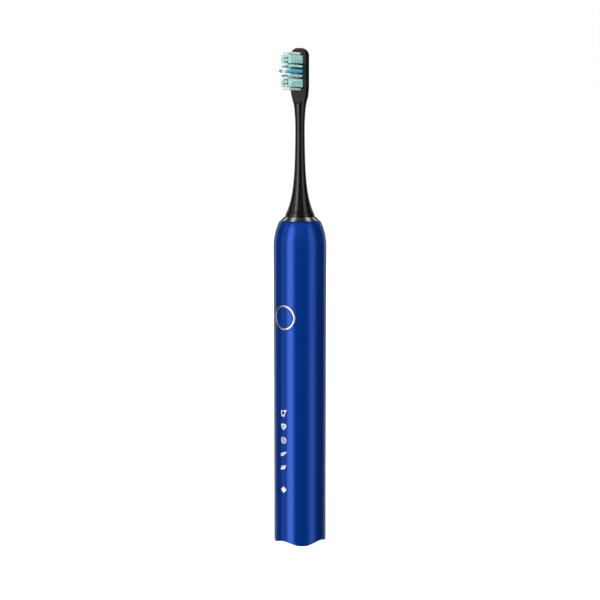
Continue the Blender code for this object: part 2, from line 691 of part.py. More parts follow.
def smooth_step(value):
    """Zero below 0, one above 1, and smooth between them."""
    part = min(1.0, max(0.0, value))
    return part * part * (3.0 - 2.0 * part)


def neck_radius(height):
    """Radius of the neck: a flared skirt, a waist and a slow swell towards the face."""
    flare = (head_radius + FLARE_EXTRA - NECK_RADIUS) * exp(-(height - head_bottom) / FLARE_LENGTH)
    swell = max(0.0, height - waist_height) / (face_bottom - waist_height)
    return min(head_radius, NECK_RADIUS + flare + NECK_SWELL * min(SWELL_LIMIT, swell) ** SWELL_POWER)


def head_section(height):
    """Half width, depth behind the axis, depth in front of it and squareness at a height."""
    neck = neck_radius(height)
    lead = LEDGE_LEAD * LEDGE_RISE
    spread = smooth_step((height - face_bottom + lead) / (LEDGE_RISE + lead))
    half_width = neck + (FACE_WIDTH / 2 - neck) * spread
    back = neck + (HEAD_BACK - neck) * spread
    squareness = 2.0 + FACE_SQUARENESS * spread
    crown = max(0.0, height - (head_top - CROWN)) / CROWN
    shrink = sqrt(max(0.0, 1.0 - crown ** 2))
    depth = back * (CROWN_DEPTH + (1.0 - CROWN_DEPTH) * shrink)
    return half_width * shrink, depth, neck, squareness


def superellipse_point(angle, half_width, back, front, squareness):
    """A point of a rounded section, with its own depth in front and behind."""
    across = cos(angle)
    along = sin(angle)
    power = 2.0 / squareness
    x = half_width * abs(across) ** power * (1 if across > 0 else -1)
    y = (back if along > 0 else front) * abs(along) ** power * (1 if along > 0 else -1)
    return x, y


def head_heights():
    """Heights of the sections: close together at the skirt, the ledge and the crown."""
    skirt_top = head_bottom + SKIRT_LOOPS
    skirt = [head_bottom + SKIRT_LOOPS * i / 3 for i in range(3)]
    neck = [skirt_top + (waist_height - skirt_top) * (i / 8) ** LOOP_CROWDING for i in range(8)]
    swell = [waist_height + (face_bottom - waist_height) * i / 5 for i in range(5)]
    ledge = [face_bottom + LEDGE_RISE * i / 7 for i in range(7)]
    crown_bottom = head_top - CROWN
    face = [ledge_centre + (crown_bottom - ledge_centre) * i / 3 for i in range(3)]
    crown = [crown_bottom + CROWN * sin(pi / 2 * i / 7) for i in range(7)]
    return skirt + neck + swell + ledge + face + crown


def head_mesh():
    """The head's outside as a loft of its sections, closed by a flat base and a crown."""
    mesh = bpy.data.meshes.new("head_shell")
    bm = bmesh.new()
    sides = 32
    rings = []
    for height in head_heights():
        section = head_section(height)
        loop = []
        for i in range(sides):
            x, y = superellipse_point(2 * pi * (i + 0.5) / sides, *section)
            loop.append(bm.verts.new((x, y, height - head_bottom)))
        rings.append(loop)
    for lower, upper in zip(rings, rings[1:]):
        for i in range(sides):
            j = (i + 1) % sides
            bm.faces.new((lower[i], lower[j], upper[j], upper[i]))
    bm.faces.new(list(reversed(rings[0])))
    bm.faces.new(rings[-1])
    bm.normal_update()
    bm.to_mesh(mesh)
    bm.free()
    mesh.shade_smooth()
    return mesh


def face_cutter_mesh():
    """What the flat face leaves out: an upright slab with an arched lower end."""
    mesh = bpy.data.meshes.new("flat_face")
    bm = bmesh.new()
    half_width = FACE_WIDTH / 2 + FIT_GAP
    arcs = 24
    outline = []
    for i in range(arcs + 1):
        angle = pi * i / arcs
        outline.append((-half_width * cos(angle), -LEDGE_RISE * sin(angle)))
    outline.append((half_width, FACE_LENGTH))
    outline.append((-half_width, FACE_LENGTH))
    verts = [bm.verts.new((x, 0.0, z)) for x, z in outline]
    face = bm.faces.new(verts)
    made = bmesh.ops.extrude_face_region(bm, geom=[face])
    moved = [item for item in made["geom"] if isinstance(item, bmesh.types.BMVert)]
    bmesh.ops.translate(bm, verts=moved, vec=(0.0, -HANDLE_RADIUS, 0.0))
    bmesh.ops.recalc_face_normals(bm, faces=bm.faces)
    bm.to_mesh(mesh)
    bm.free()
    return mesh


def tuft_layout():
    """Every tuft: name, sideways place, height from the field's centre, half sizes, look, length."""
    tufts = [("middle_tuft_centre", 0.0, 0.0, (CENTRE_RADIUS,), white_bristle,
              BRISTLE_LENGTH + BLUE_EXTRA)]
    for side_name, side in (("left", -1), ("right", 1)):
        x = side * COLUMN_OFFSET
        tufts.append((f"blue_tuft_{side_name}", x, 0.0, (BLUE_RADIUS,), aqua_bristle,
                      BRISTLE_LENGTH + BLUE_EXTRA))
        for end_name, end in (("low", -1), ("high", 1)):
            place = f"{side_name}_{end_name}"
            tufts.append((f"small_tuft_{place}", x, end * SMALL_OFFSET, (SMALL_RADIUS,), mint_bristle,
                          BRISTLE_LENGTH))
            tufts.append((f"wide_tuft_{place}", x, end * WIDE_OFFSET, WIDE_HALF, mint_bristle,
                          BRISTLE_LENGTH))
    for end_name, end in (("low", -1), ("high", 1)):
        tufts.append((f"end_tuft_{end_name}", 0.0, end * END_OFFSET, END_HALF, white_bristle,
                      BRISTLE_LENGTH))
        for i in range(MIDDLE_COUNT):
            height = end * (MIDDLE_START + MIDDLE_PITCH * i)
            tufts.append((f"middle_tuft_{end_name}_{i + 1}", 0.0, height, (MIDDLE_RADIUS,), white_bristle,
                          BRISTLE_LENGTH))
    return tufts


def tuft_mesh(name, halves, length):
    """A round or a block-shaped tuft, from its root towards -Y."""
    if len(halves) == 1:
        return cylinder_mesh(name, halves[0], length, TINY_STEPS, along="-Y")
    return box_mesh(name, (-halves[0], -length, -halves[1]), (halves[0], 0.0, halves[1]))


def make_tufts(shell):
    """The tufts, each in its own blind hole in the flat face."""
    for name, x, height, halves, look, length in tuft_layout():
        root = -(FACE_OFFSET - ROOT_DEPTH)
        place = (x, root, field_centre + height)
        piece = add_piece(name, tuft_mesh(name, halves, length + ROOT_DEPTH), head, place, look)
        if len(halves) == 2:
            round_edges(piece, 2 * FIT_GAP)
        hole_halves = tuple(half + ROOT_FIT for half in halves)
        hole = tuft_mesh(name + "_hole", hole_halves, ROOT_DEPTH + BEYOND)
        cutter = add_cutter(name + "_hole", hole, (x, root + ROOT_FIT, field_centre + height))
        combine(shell, cutter, "DIFFERENCE")


def make_head():
    """The black shell with its flat face and hollow, the socket and the clip in it."""
    shell = add_piece("head_shell", head_mesh(), head, (0.0, 0.0, head_bottom), gloss_black)
    face = add_cutter("flat_face", face_cutter_mesh(), (0.0, -FACE_OFFSET, ledge_centre))
    combine(shell, face, "DIFFERENCE")
    mouth = head_radius - SKIRT_WALL
    mouth_depth = SOCKET_FLANGE + 3 * FIT_GAP
    bore = bore_top - head_bottom
    hollow = [(0.0, bore), (head_bore, bore), (head_bore, mouth - head_bore + mouth_depth),
              (mouth, mouth_depth), (mouth, -BEYOND), (0.0, -BEYOND)]
    combine(shell, turned_cutter("head_hollow", hollow, (0.0, 0.0, head_bottom), SMALL_STEPS), "DIFFERENCE")

    flange_bottom = head_bottom + FIT_GAP
    socket_height = shaft_top + FIT_GAP - flange_bottom
    socket = [(socket_outer, socket_height), (socket_outer, SOCKET_FLANGE),
              (mouth - FIT_GAP, SOCKET_FLANGE), (mouth - FIT_GAP, 0.0), (socket_bore, 0.0),
              (socket_bore, socket_height)]
    turned("shaft_socket", socket, head, (0.0, 0.0, flange_bottom), white_plastic, SMALL_STEPS, closed=True)

    clip_front = -(sqrt(socket_bore ** 2 - CLIP_HALF_WIDTH ** 2) - RUNNING_GAP)
    clip_top = shaft_top - FIT_GAP
    clip = box_mesh("socket_clip", (-CLIP_HALF_WIDTH, clip_front, clip_top - CLIP_LENGTH),
                    (CLIP_HALF_WIDTH, clip_front + CLIP, clip_top))
    add_piece("socket_clip", clip, head, (0.0, 0.0, 0.0), steel)
    make_tufts(shell)


make_handle_shell()
make_collar()
make_shaft_seal()
make_base()
make_button()
make_frame()
make_battery()
make_board()
make_motor()
make_drive()
make_head()
bpy.context.view_layer.update()
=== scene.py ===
"""Sonic electric toothbrush: the finished pieces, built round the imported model.

The brush stands upright on the origin, +Z up along its axis. Its front, with the power button
and the bristles, faces -Y. Sizes in this script are in millimetres, and become metres when a
mesh is made. The stage's sizes are in metres.
"""

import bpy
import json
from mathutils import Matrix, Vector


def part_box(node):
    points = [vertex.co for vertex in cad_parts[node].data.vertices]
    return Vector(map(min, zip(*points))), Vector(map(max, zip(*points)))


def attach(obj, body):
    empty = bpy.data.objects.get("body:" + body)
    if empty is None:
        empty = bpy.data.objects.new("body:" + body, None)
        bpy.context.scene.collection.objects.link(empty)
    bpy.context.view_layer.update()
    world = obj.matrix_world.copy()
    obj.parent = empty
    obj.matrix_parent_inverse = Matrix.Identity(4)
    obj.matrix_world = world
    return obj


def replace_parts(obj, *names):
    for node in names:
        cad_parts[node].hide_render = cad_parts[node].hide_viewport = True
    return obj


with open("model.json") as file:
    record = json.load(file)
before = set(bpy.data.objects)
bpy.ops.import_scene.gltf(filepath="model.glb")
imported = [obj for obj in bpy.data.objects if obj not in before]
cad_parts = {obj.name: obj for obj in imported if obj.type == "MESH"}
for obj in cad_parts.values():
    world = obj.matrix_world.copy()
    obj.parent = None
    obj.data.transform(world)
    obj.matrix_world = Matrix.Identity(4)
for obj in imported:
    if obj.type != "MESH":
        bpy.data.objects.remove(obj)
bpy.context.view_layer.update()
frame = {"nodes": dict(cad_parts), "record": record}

import json
import random
from math import acos, cos, exp, hypot, pi, radians, sin, sqrt

import bmesh
import bpy
from mathutils import Vector

MM = 0.001
WELD = 0.0005               # points closer than this are one

# Fits
SLIDE_GAP = 0.15            # round a piece that slides in another
KEY_GAP = 0.15              # between the button and its ring
RING_GAP = 0.15             # between the ring and its hole

# Handle shell
SHOULDER_DROP = 13.0        # height of the stretch that draws in
SHOULDER_REACH = 20.5       # height that a whole shoulder ellipse would have
WALL = 1.8
TOP_WALL = 2.0
RIM_LOBES = 4
RIM_WAVE = 1.85             # height of the arches in the bottom rim
RIM_FADE = 9.0              # height at which the wave has died away
RIM_EDGE = 0.35             # radius of the bottom rim's edge
TOP_EDGE = 0.18             # radius of the edge round the mouth
FOOT_HALF_ANGLE = radians(7.5)
TUBE_STEPS = 240
TUBE_PITCH = 1.5            # between two loops of the straight wall
SHOULDER_BENDS = 28
CEILING_BENDS = 8
LINER_LEVELS = (60.0, 9.0)  # loops of the inner wall
SHARP_ANGLE = 35            # degrees between two faces that meet in a clear edge

# Collar
COLLAR_HEIGHT = 2.0
COLLAR_STEP = 0.4           # the shell's edge that shows round it
COLLAR_DRAW = 2.0           # how far its side leans in
COLLAR_RIM = 0.35           # width of its top face
COLLAR_EDGE = 0.18
COLLAR_STEPS = 144
SLEEVE_WALL = 0.5

# Base plug and charging well
WELL_RADIUS = 4.5
WELL_WALL = 1.0
WELL_DEPTH = 11.0
PLUG_FLOOR = 2.0
PLUG_SKIRT = 6.0
PLUG_WALL = 1.2
GROOVE_LOW = 2.2
GROOVE_HIGH = 3.8
GROOVE_DEPTH = 0.8
PLUG_EDGE = 0.3

# Button and its ring
BEZEL_LIP = 0.22
BEZEL_STEPS = 120
KEY_LIP = 0.16
KEY_STEPS = 96
KEY_LEVELS = (0.0, 1.0, 2.2, 3.4, 4.4)
KEY_BACK = -11.0            # Y of the button's back face
KEY_CHAMFER = 0.3
STEM_RADIUS = 1.5
STEM_CHAMFER = 0.15
STEM_SINK = 0.2             # how far the stem reaches into the button
STEM_STEPS = 32

# Printed marks
MARK_TOP = 69.6
MARK_PITCH = 7.1
MARK_SIZE = 0.92            # share of the size they are drawn at
BATTERY_MARK = 29.4
PRINT_SINK = -0.02
PRINT_LIFT = 0.025

# Brush head
HEAD_LENGTH = 85.6
HEAD_BACK = 2.6
NECK_RADIUS = 2.3
NECK_SWELL = 0.85
SWELL_LIMIT = 1.3
SWELL_POWER = 2.5
FLARE_EXTRA = 0.63
FLARE_LENGTH = 10.4
WAIST_RISE = 41.65
FACE_HALF_WIDTH = 5.2
FACE_LENGTH = 28.3
FACE_OFFSET = 1.7           # from the axis to the flat face
FACE_MARGIN = 0.3           # by which the flat face runs past the sides
FACE_SQUARENESS = 0.7       # by which the face's outline is squarer than an ellipse
LEDGE_RISE = 10.0           # height of the arch
LEDGE_STEP = 0.0001         # between the two loops where the arch starts
SPREAD_LEAD = 1.0           # how far below the arch the head starts to widen
CROWN = 4.0                 # height of the rounded end
CROWN_BACK = 0.55           # share of the back's depth that is left at the very end
SKIRT_WALL = 1.2
SKIRT_START = 0.25          # height of the skirt's first full loop
SKIRT_PITCH = 0.75
LIP_WIDTH = 0.22
LIP_SIDE = 0.06
LIP_RISE = 0.08
MOUTH_DEPTH = 1.9
MOUTH_CHAMFER = 0.2
SOCKET_BORE = 2.45
SOCKET_HEADROOM = 1.6       # above the shaft
BORE_CENTRE = 0.4           # radius of the loop in the bore's end
BORE_LOOP = 4.0             # from the bore's end to its first loop
STEP_LOOP = 1.0             # from the bore's mouth to its first loop
HEAD_WELD = 0.001
HEAD_SHARP_ANGLE = 30

# Bristles
FILAMENT_RADIUS = 0.088
FILAMENT_PITCH = 0.168
FILAMENT_SIDES = 6
FILAMENT_SHIFT = 0.02
FILAMENT_BOW = 0.05
FILAMENT_LEAN = 0.07
FILAMENT_SHORT = 0.22       # by which the shortest filaments fall short
FILAMENT_ROOT = 0.25        # depth of the roots in the head
FILAMENT_SIZES = (0.92, 1.06)
FILAMENT_STATIONS = ((0.0, 1.0), (0.35, 1.0), (0.7, 1.0), (0.975, 0.97), (0.993, 0.72), (1.0, 0.3))
FILAMENT_SHARP_ANGLE = 60
BLOCK_POWER = 6             # squareness of a block of bristles
TUFT_DEPTH = 12.0           # over which the painted shade fades from the root colour to the tip colour

# Drive shaft and its seal
SHAFT_FLAT_DEPTH = 0.6
SHAFT_FLAT_LENGTH = 14.0
SHAFT_RAMP = 0.15
SHAFT_FOOT = 0.25
SHAFT_CHAMFER = 0.35
SHAFT_FOOT_SHARE = 0.85     # of its full size, at the bottom end
SHAFT_TIP_SHARE = 0.8       # and at the top end
SHAFT_STEPS = 64
SHAFT_SHARP_ANGLE = 25
SEAL_GAP = 0.3
SEAL_FLANGE = 1.5
SEAL_EDGE = 0.3

# Stage
CAMERA_TURN = radians(38.8)
CAMERA_REACH = 0.715
CAMERA_HEIGHT = 0.210
CAMERA_AIM = 0.1269
CAMERA_LENS = 83.6
STRIP_REACH = 0.9
STRIP_HEIGHT = 1.6
STRIP_MIDDLE = 0.13
HIGH_REACH = 1.0
HIGH_SIZE = 0.26
FILL_REACH = 1.4
FILL_RISE = 35
FILL_SIZE = 1.1
WORLD_FRONT = 0.03
WORLD_BACK = 0.15
FLOOR_SIZE = 4.0
FLOOR_CELLS = 24


def box_mm(node):
    """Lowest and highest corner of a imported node, in millimetres."""
    low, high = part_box(node)
    return low / MM, high / MM


shell_high = box_mm("handle_shell")[1]
collar_low, collar_high = box_mm("top_collar")
ring_low, ring_high = box_mm("button_ring")
key_high = box_mm("button_cap")[1]
head_low, head_high = box_mm("head_shell")
shaft_low, shaft_high = box_mm("drive_shaft")
cap_low, cap_high = box_mm("base_cap")

handle_radius = shell_high.x
handle_height = shell_high.z
shoulder_start = handle_height - SHOULDER_DROP
button_height = (ring_low.z + ring_high.z) / 2


# Finishes

class Value:
    """A shader socket that takes part in sums: each step adds a Math node."""

    def __init__(self, nodes, socket):
        self.nodes = nodes
        self.socket = socket

    def step(self, operation, *terms):
        """A Math node on values or numbers."""
        return self.nodes.node("ShaderNodeMath", {"operation": operation}, dict(enumerate(terms)))

    def __add__(self, other):
        return self.step("ADD", self, other)

    def __radd__(self, other):
        return self.step("ADD", self, other)

    def __sub__(self, other):
        return self.step("SUBTRACT", self, other)

    def __rsub__(self, other):
        return self.step("SUBTRACT", other, self)

    def __mul__(self, other):
        return self.step("MULTIPLY", self, other)

    def __rmul__(self, other):
        return self.step("MULTIPLY", self, other)

    def __truediv__(self, other):
        return self.step("DIVIDE", self, other)

    def __rtruediv__(self, other):
        return self.step("DIVIDE", other, self)

    def above(self, edge, width):
        """Zero below the edge, one above it, smooth over the width."""
        settings = {"interpolation_type": "SMOOTHSTEP"}
        sockets = {"Value": self, "From Min": edge - width / 2, "From Max": edge + width / 2}
        return self.nodes.node("ShaderNodeMapRange", settings, sockets)


class Nodes:
    """A node tree, and the node at its end that takes the results."""

    def __init__(self, tree, end):
        self.tree = tree
        self.end = tree.nodes[end]

    def node(self, kind, settings, sockets, output=0):
        """A node of one kind, with its settings set first and then its sockets."""
        made = self.tree.nodes.new(kind)
        for setting, choice in settings.items():
            setattr(made, setting, choice)
        for socket, given in sockets.items():
            if isinstance(given, Value):
                self.tree.links.new(given.socket, made.inputs[socket])
            else:
                made.inputs[socket].default_value = given
        return Value(self, made.outputs[output])

    def feed(self, socket, value):
        """Links a value to a socket of the node at the end."""
        self.tree.links.new(value.socket, self.end.inputs[socket])


class Finish(Nodes):
    """One material, made from nodes round a Principled shader."""

    def __init__(self, name, **constants):
        self.material = bpy.data.materials.new(name)
        self.material.use_nodes = True
        super().__init__(self.material.node_tree, "Principled BSDF")
        for socket, number in constants.items():
            self.end.inputs[socket.replace("_", " ")].default_value = number
        self.place = self.node("ShaderNodeTexCoord", {}, {}, "Object")

    def stretched(self, x, y, z):
        """The object's own coordinates, in millimetres, scaled along each axis."""
        scale = (x / MM, y / MM, z / MM)
        return self.node("ShaderNodeVectorMath", {"operation": "MULTIPLY"}, {0: self.place, 1: scale})

    def noise(self, scale, detail, stretch=(1, 1, 1)):
        """Soft noise with so many cells in a millimetre."""
        sockets = {"Vector": self.stretched(*stretch), "Scale": scale, "Detail": detail}
        return self.node("ShaderNodeTexNoise", {}, sockets)

    def cells(self, scale, stretch):
        """One random value for each cell."""
        sockets = {"Vector": self.stretched(*stretch), "Scale": scale}
        colour = self.node("ShaderNodeTexVoronoi", {"feature": "F1"}, sockets, "Color")
        return self.node("ShaderNodeSeparateColor", {}, {"Color": colour})

    def axis(self, name):
        """One coordinate of the object's own place, in millimetres."""
        return self.node("ShaderNodeSeparateXYZ", {}, {"Vector": self.stretched(1, 1, 1)}, name)

    def blend(self, share, first, second):
        """A colour between two others."""
        sockets = {"Factor": share, 6: (*first, 1.0), 7: (*second, 1.0)}
        return self.node("ShaderNodeMix", {"data_type": "RGBA"}, sockets, 2)

    def bump(self, height, distance, strength):
        """Relief of a height between 0 and 1, for the shader's normal."""
        sockets = {"Height": height, "Distance": distance * MM, "Strength": strength}
        self.feed("Normal", self.node("ShaderNodeBump", {}, sockets))


def blue_metal_finish():
    """Satin blue over metal: a deep blue with a very fine grain and a thin clear coat."""
    made = Finish("satin_blue_metal", Coat_Weight=0.18, Coat_Roughness=0.20, Specular_IOR_Level=0.3)
    grain = made.noise(scale=16.0, detail=3.0)
    cloud = made.noise(scale=0.09, detail=2.0)
    tone = grain * 0.5 + cloud * 0.5
    made.feed("Base Color", made.blend(tone, (0.0006, 0.040, 0.290), (0.0012, 0.053, 0.370)))
    made.feed("Metallic", 0.44 + grain * 0.12)
    made.feed("Roughness", 0.23 + grain * 0.07)
    made.bump(grain, distance=0.004, strength=0.35)
    return made.material


def silver_finish():
    """Bright trim metal with hair lines."""
    made = Finish("bright_silver_trim", Metallic=1.0)
    lines = made.noise(scale=6.0, detail=3.0, stretch=(0.6, 0.6, 3.0))
    made.feed("Base Color", made.blend(lines, (0.70, 0.71, 0.73), (0.90, 0.90, 0.91)))
    made.feed("Roughness", 0.26 + lines * 0.12)
    made.bump(lines, distance=0.003, strength=0.4)
    return made.material


def chrome_finish():
    """Polished dark chrome with a trace of fine polishing rings."""
    made = Finish("polished_chrome", Metallic=1.0)
    rings = made.noise(scale=5.0, detail=2.0, stretch=(0.2, 0.2, 4.0))
    smudge = made.noise(scale=0.5, detail=3.0)
    made.feed("Base Color", made.blend(rings, (0.46, 0.47, 0.49), (0.60, 0.61, 0.63)))
    made.feed("Roughness", 0.17 + smudge * 0.10)
    made.bump(rings, distance=0.002, strength=0.3)
    return made.material


def steel_finish():
    """Turned steel with fine rings along its axis."""
    made = Finish("turned_steel", Metallic=1.0)
    rings = made.noise(scale=7.0, detail=3.0, stretch=(0.15, 0.15, 2.0))
    stain = made.noise(scale=0.35, detail=3.0)
    tone = rings * 0.6 + stain * 0.4
    made.feed("Base Color", made.blend(tone, (0.42, 0.43, 0.45), (0.66, 0.67, 0.69)))
    made.feed("Roughness", 0.22 + rings * 0.18)
    made.bump(rings, distance=0.005, strength=0.5)
    return made.material


def gloss_black_finish():
    """Glossy black moulding with a faint flow pattern and handling marks."""
    made = Finish("gloss_black_moulding", Coat_Weight=0.35, Coat_Roughness=0.12)
    flow = made.noise(scale=0.22, detail=3.0, stretch=(1.0, 1.0, 0.25))
    marks = made.noise(scale=0.6, detail=3.0)
    made.feed("Base Color", made.blend(flow, (0.0026, 0.0027, 0.0028), (0.0044, 0.0046, 0.0047)))
    made.feed("Roughness", 0.20 + marks * 0.08 + flow * 0.06)
    made.bump(marks, distance=0.002, strength=0.06)
    return made.material


def rubber_finish():
    """Matt dark rubber with a fine leathery grain."""
    made = Finish("matt_dark_rubber", Specular_IOR_Level=0.35)
    grain = made.noise(scale=5.0, detail=5.0)
    dust = made.noise(scale=0.7, detail=3.0)
    made.feed("Base Color", made.blend(dust, (0.018, 0.018, 0.019), (0.034, 0.033, 0.033)))
    made.feed("Roughness", 0.62 + grain * 0.22)
    made.bump(grain, distance=0.02, strength=0.5)
    return made.material


def white_plastic_finish():
    """Moulded white plastic, slightly eggshell."""
    made = Finish("moulded_white_plastic", Specular_IOR_Level=0.45)
    shell = made.noise(scale=3.0, detail=4.0)
    tint = made.noise(scale=0.12, detail=2.0)
    made.feed("Base Color", made.blend(tint, (0.80, 0.80, 0.78), (0.87, 0.87, 0.86)))
    made.feed("Roughness", 0.36 + shell * 0.14)
    made.bump(shell, distance=0.012, strength=0.4)
    return made.material


def copper_finish():
    """Enamelled copper wire, wound turn on turn, with painted shade in the grooves between turns and a
    painted highlight on their crests.
    """
    made = Finish("wound_copper_wire", Metallic=1.0, Coat_Weight=0.4, Coat_Roughness=0.15)
    settings = {"wave_type": "BANDS", "bands_direction": "Z", "wave_profile": "SIN"}
    turns = made.node("ShaderNodeTexWave", settings, {"Vector": made.stretched(1, 1, 1), "Scale": 1.25})
    heat = made.noise(scale=0.6, detail=2.0)
    # painted shade and painted highlight: the turns' wave darkens the grooves and lightens the crests; the
    # heat noise is the wire's own uneven tone
    tone = turns * 0.7 + heat * 0.3
    made.feed("Base Color", made.blend(tone, (0.30, 0.095, 0.030), (0.74, 0.32, 0.13)))
    made.feed("Roughness", 0.24 + heat * 0.14)
    made.bump(turns, distance=0.05, strength=0.8)
    return made.material


def cell_wrap_finish():
    """Shrink wrap on the cell, pulled a little unevenly."""
    made = Finish("cell_shrink_wrap", Specular_IOR_Level=0.5)
    pull = made.noise(scale=0.5, detail=3.0, stretch=(1.0, 1.0, 0.3))
    speck = made.noise(scale=4.0, detail=2.0)
    made.feed("Base Color", made.blend(pull, (0.030, 0.130, 0.330), (0.060, 0.210, 0.470)))
    made.feed("Roughness", 0.24 + speck * 0.16)
    made.bump(pull, distance=0.06, strength=0.5)
    return made.material


def brass_finish():
    """Machined brass with tool marks and a light tarnish."""
    made = Finish("machined_brass", Metallic=1.0)
    rings = made.noise(scale=6.0, detail=3.0, stretch=(0.3, 0.3, 2.0))
    tarnish = made.noise(scale=0.8, detail=3.0)
    made.feed("Base Color", made.blend(tarnish, (0.48, 0.33, 0.12), (0.68, 0.52, 0.23)))
    made.feed("Roughness", 0.22 + rings * 0.12 + tarnish * 0.08)
    made.bump(rings, distance=0.005, strength=0.5)
    return made.material


def board_finish():
    """Solder mask over copper tracks."""
    made = Finish("board_solder_mask", Specular_IOR_Level=0.5)
    sockets = {"Vector": made.stretched(1.0, 1.0, 0.6), "Scale": 0.65}
    edge = made.node("ShaderNodeTexVoronoi", {"feature": "DISTANCE_TO_EDGE"}, sockets, "Distance")
    track = 1.0 - edge.above(0.10, 0.05)
    weave = made.noise(scale=4.0, detail=3.0)
    made.feed("Base Color", made.blend(track, (0.010, 0.095, 0.040), (0.040, 0.230, 0.090)))
    made.feed("Roughness", 0.32 + weave * 0.16)
    made.bump(track * 0.8 + weave * 0.2, distance=0.03, strength=0.6)
    return made.material


def light_finish():
    """Milky lens of a small light, a little cloudy."""
    made = Finish("milky_light_lens", Specular_IOR_Level=0.5)
    milk = made.noise(scale=1.2, detail=3.0)
    made.feed("Base Color", made.blend(milk, (0.80, 0.80, 0.72), (0.90, 0.90, 0.88)))
    made.feed("Roughness", 0.14 + milk * 0.12)
    made.bump(milk, distance=0.01, strength=0.3)
    return made.material


def print_finish():
    """White print, very slightly grainy."""
    made = Finish("white_print", Specular_IOR_Level=0.4)
    grain = made.noise(scale=9.0, detail=2.0)
    made.feed("Base Color", made.blend(grain, (0.86, 0.87, 0.89), (0.96, 0.96, 0.97)))
    made.feed("Roughness", 0.40 + grain * 0.15)
    made.bump(grain, distance=0.003, strength=0.3)
    return made.material


def bristle_finish(name, root, tip):
    """Nylon filaments: each a little different, with painted shade that darkens them towards the root and
    painted light that brightens the tips.
    """
    made = Finish(name, Specular_IOR_Level=0.5)
    own = made.cells(scale=5.0, stretch=(1.0, 0.02, 1.0))
    # painted shade: the colour runs from the darker root colour at the head to the lighter tip colour at the
    # ends
    depth = made.axis("Y") / -TUFT_DEPTH
    shade = depth * 0.75 + own * 0.25
    made.feed("Base Color", made.blend(shade, root, tip))
    made.feed("Roughness", 0.30 + own * 0.20)
    made.bump(made.noise(scale=8.0, detail=2.0), distance=0.004, strength=0.3)
    return made.material


finishes = {
    "blue_metal": blue_metal_finish(),
    "silver": silver_finish(),
    "chrome": chrome_finish(),
    "steel": steel_finish(),
    "gloss_black": gloss_black_finish(),
    "dark_rubber": rubber_finish(),
    "white_plastic": white_plastic_finish(),
    "copper": copper_finish(),
    "cell_wrap": cell_wrap_finish(),
    "brass": brass_finish(),
    "board_green": board_finish(),
    "light_white": light_finish(),
    # each pair: a root colour darkened as painted shade, then a lighter tip colour as painted light
    "white_bristle": bristle_finish("white_nylon_bristle", (0.93, 0.94, 0.94), (0.97, 0.97, 0.98)),
    "mint_bristle": bristle_finish("mint_nylon_bristle", (0.54, 0.92, 0.87), (0.62, 0.95, 0.91)),
    "aqua_bristle": bristle_finish("aqua_nylon_bristle", (0.065, 0.52, 0.86), (0.17, 0.74, 0.96)),
}
white_print = print_finish()


# Meshes

def angles_round(steps, shift=0.0):
    """Angles all the way round, in equal steps."""
    return [2 * pi * (k + shift) / steps for k in range(steps)]


def quarter(steps, first=0):
    """Angles from 0 to 90 degrees, in equal steps."""
    return [pi / 2 * k / steps for k in range(first, steps + 1)]


def add_object(name, data):
    """A new object in the scene."""
    made = bpy.data.objects.new(name, data)
    bpy.context.scene.collection.objects.link(made)
    return made


def mesh_from(name, bm):
    """A mesh in metres from a bmesh in millimetres, with its faces turned outward."""
    mesh = bpy.data.meshes.new(name)
    bmesh.ops.remove_doubles(bm, verts=bm.verts, dist=WELD)
    bmesh.ops.recalc_face_normals(bm, faces=bm.faces)
    bmesh.ops.scale(bm, verts=bm.verts, vec=(MM, MM, MM))
    bm.to_mesh(mesh)
    bm.free()
    return mesh


def shade(mesh, sharp):
    """Smooth shading with clear edges where faces meet at more than an angle in degrees."""
    mesh.shade_smooth()
    mesh.set_sharp_from_angle(angle=radians(sharp))


def piece_from(name, bm, body, slot, look=None, sharp=SHARP_ANGLE):
    """A piece from a bmesh in millimetres, riding on its body."""
    mesh = mesh_from(name, bm)
    mesh.materials.append(look or finishes[slot])
    shade(mesh, sharp)
    piece = add_object(name, mesh)
    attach(piece, body)
    return piece


def apply_modifiers(piece):
    """Makes the piece's modifiers part of its mesh."""
    bpy.context.view_layer.update()
    graph = bpy.context.evaluated_depsgraph_get()
    mesh = bpy.data.meshes.new_from_object(piece.evaluated_get(graph))
    piece.modifiers.clear()
    piece.data = mesh


def loop_grid(bm, rings, wrap=True):
    """Faces between rings of points that have the same count."""
    rows = [[bm.verts.new(point) for point in ring] for ring in rings]
    count = len(rows[0])
    for lower, upper in zip(rows, rows[1:]):
        for i in range(count if wrap else count - 1):
            j = (i + 1) % count
            bm.faces.new((lower[i], lower[j], upper[j], upper[i]))
    return rows


def capped_grid(bm, rings):
    """Faces between rings of points, and a face on the first and the last ring."""
    rows = loop_grid(bm, rings)
    bm.faces.new(rows[0])
    bm.faces.new(rows[-1])


def rounded(points, radius, closed=True):
    """A section with its corners rounded, as far as its sides are long enough."""
    steps = 4
    least_turn = radians(20)
    share = 0.45            # of a side's length, at most
    made = []
    count = len(points)
    for i, point in enumerate(points):
        if not closed and i in (0, count - 1):
            made.append(point)
            continue
        here = Vector(point)
        back = Vector(points[i - 1]) - here
        ahead = Vector(points[(i + 1) % count]) - here
        turn = back.angle(-ahead) if back.length and ahead.length else 0.0
        if turn < least_turn:
            made.append(point)
            continue
        reach = min(radius, back.length * share, ahead.length * share)
        start = here + back.normalized() * reach
        end = here + ahead.normalized() * reach
        for k in range(steps + 1):
            t = k / steps
            made.append(tuple(start * (1 - t) ** 2 + here * (2 * t * (1 - t)) + end * t ** 2))
    return made


def lathe(name, section, body, slot, steps=96, closed=True):
    """A round piece from a section of (radius, height) points."""
    bm = bmesh.new()
    rings = [[(r * cos(angle), r * sin(angle), z) for r, z in section] for angle in angles_round(steps, 0.5)]
    rings.append(rings[0])
    loop_grid(bm, rings, wrap=closed)
    return piece_from(name, bm, body, slot)


# Handle

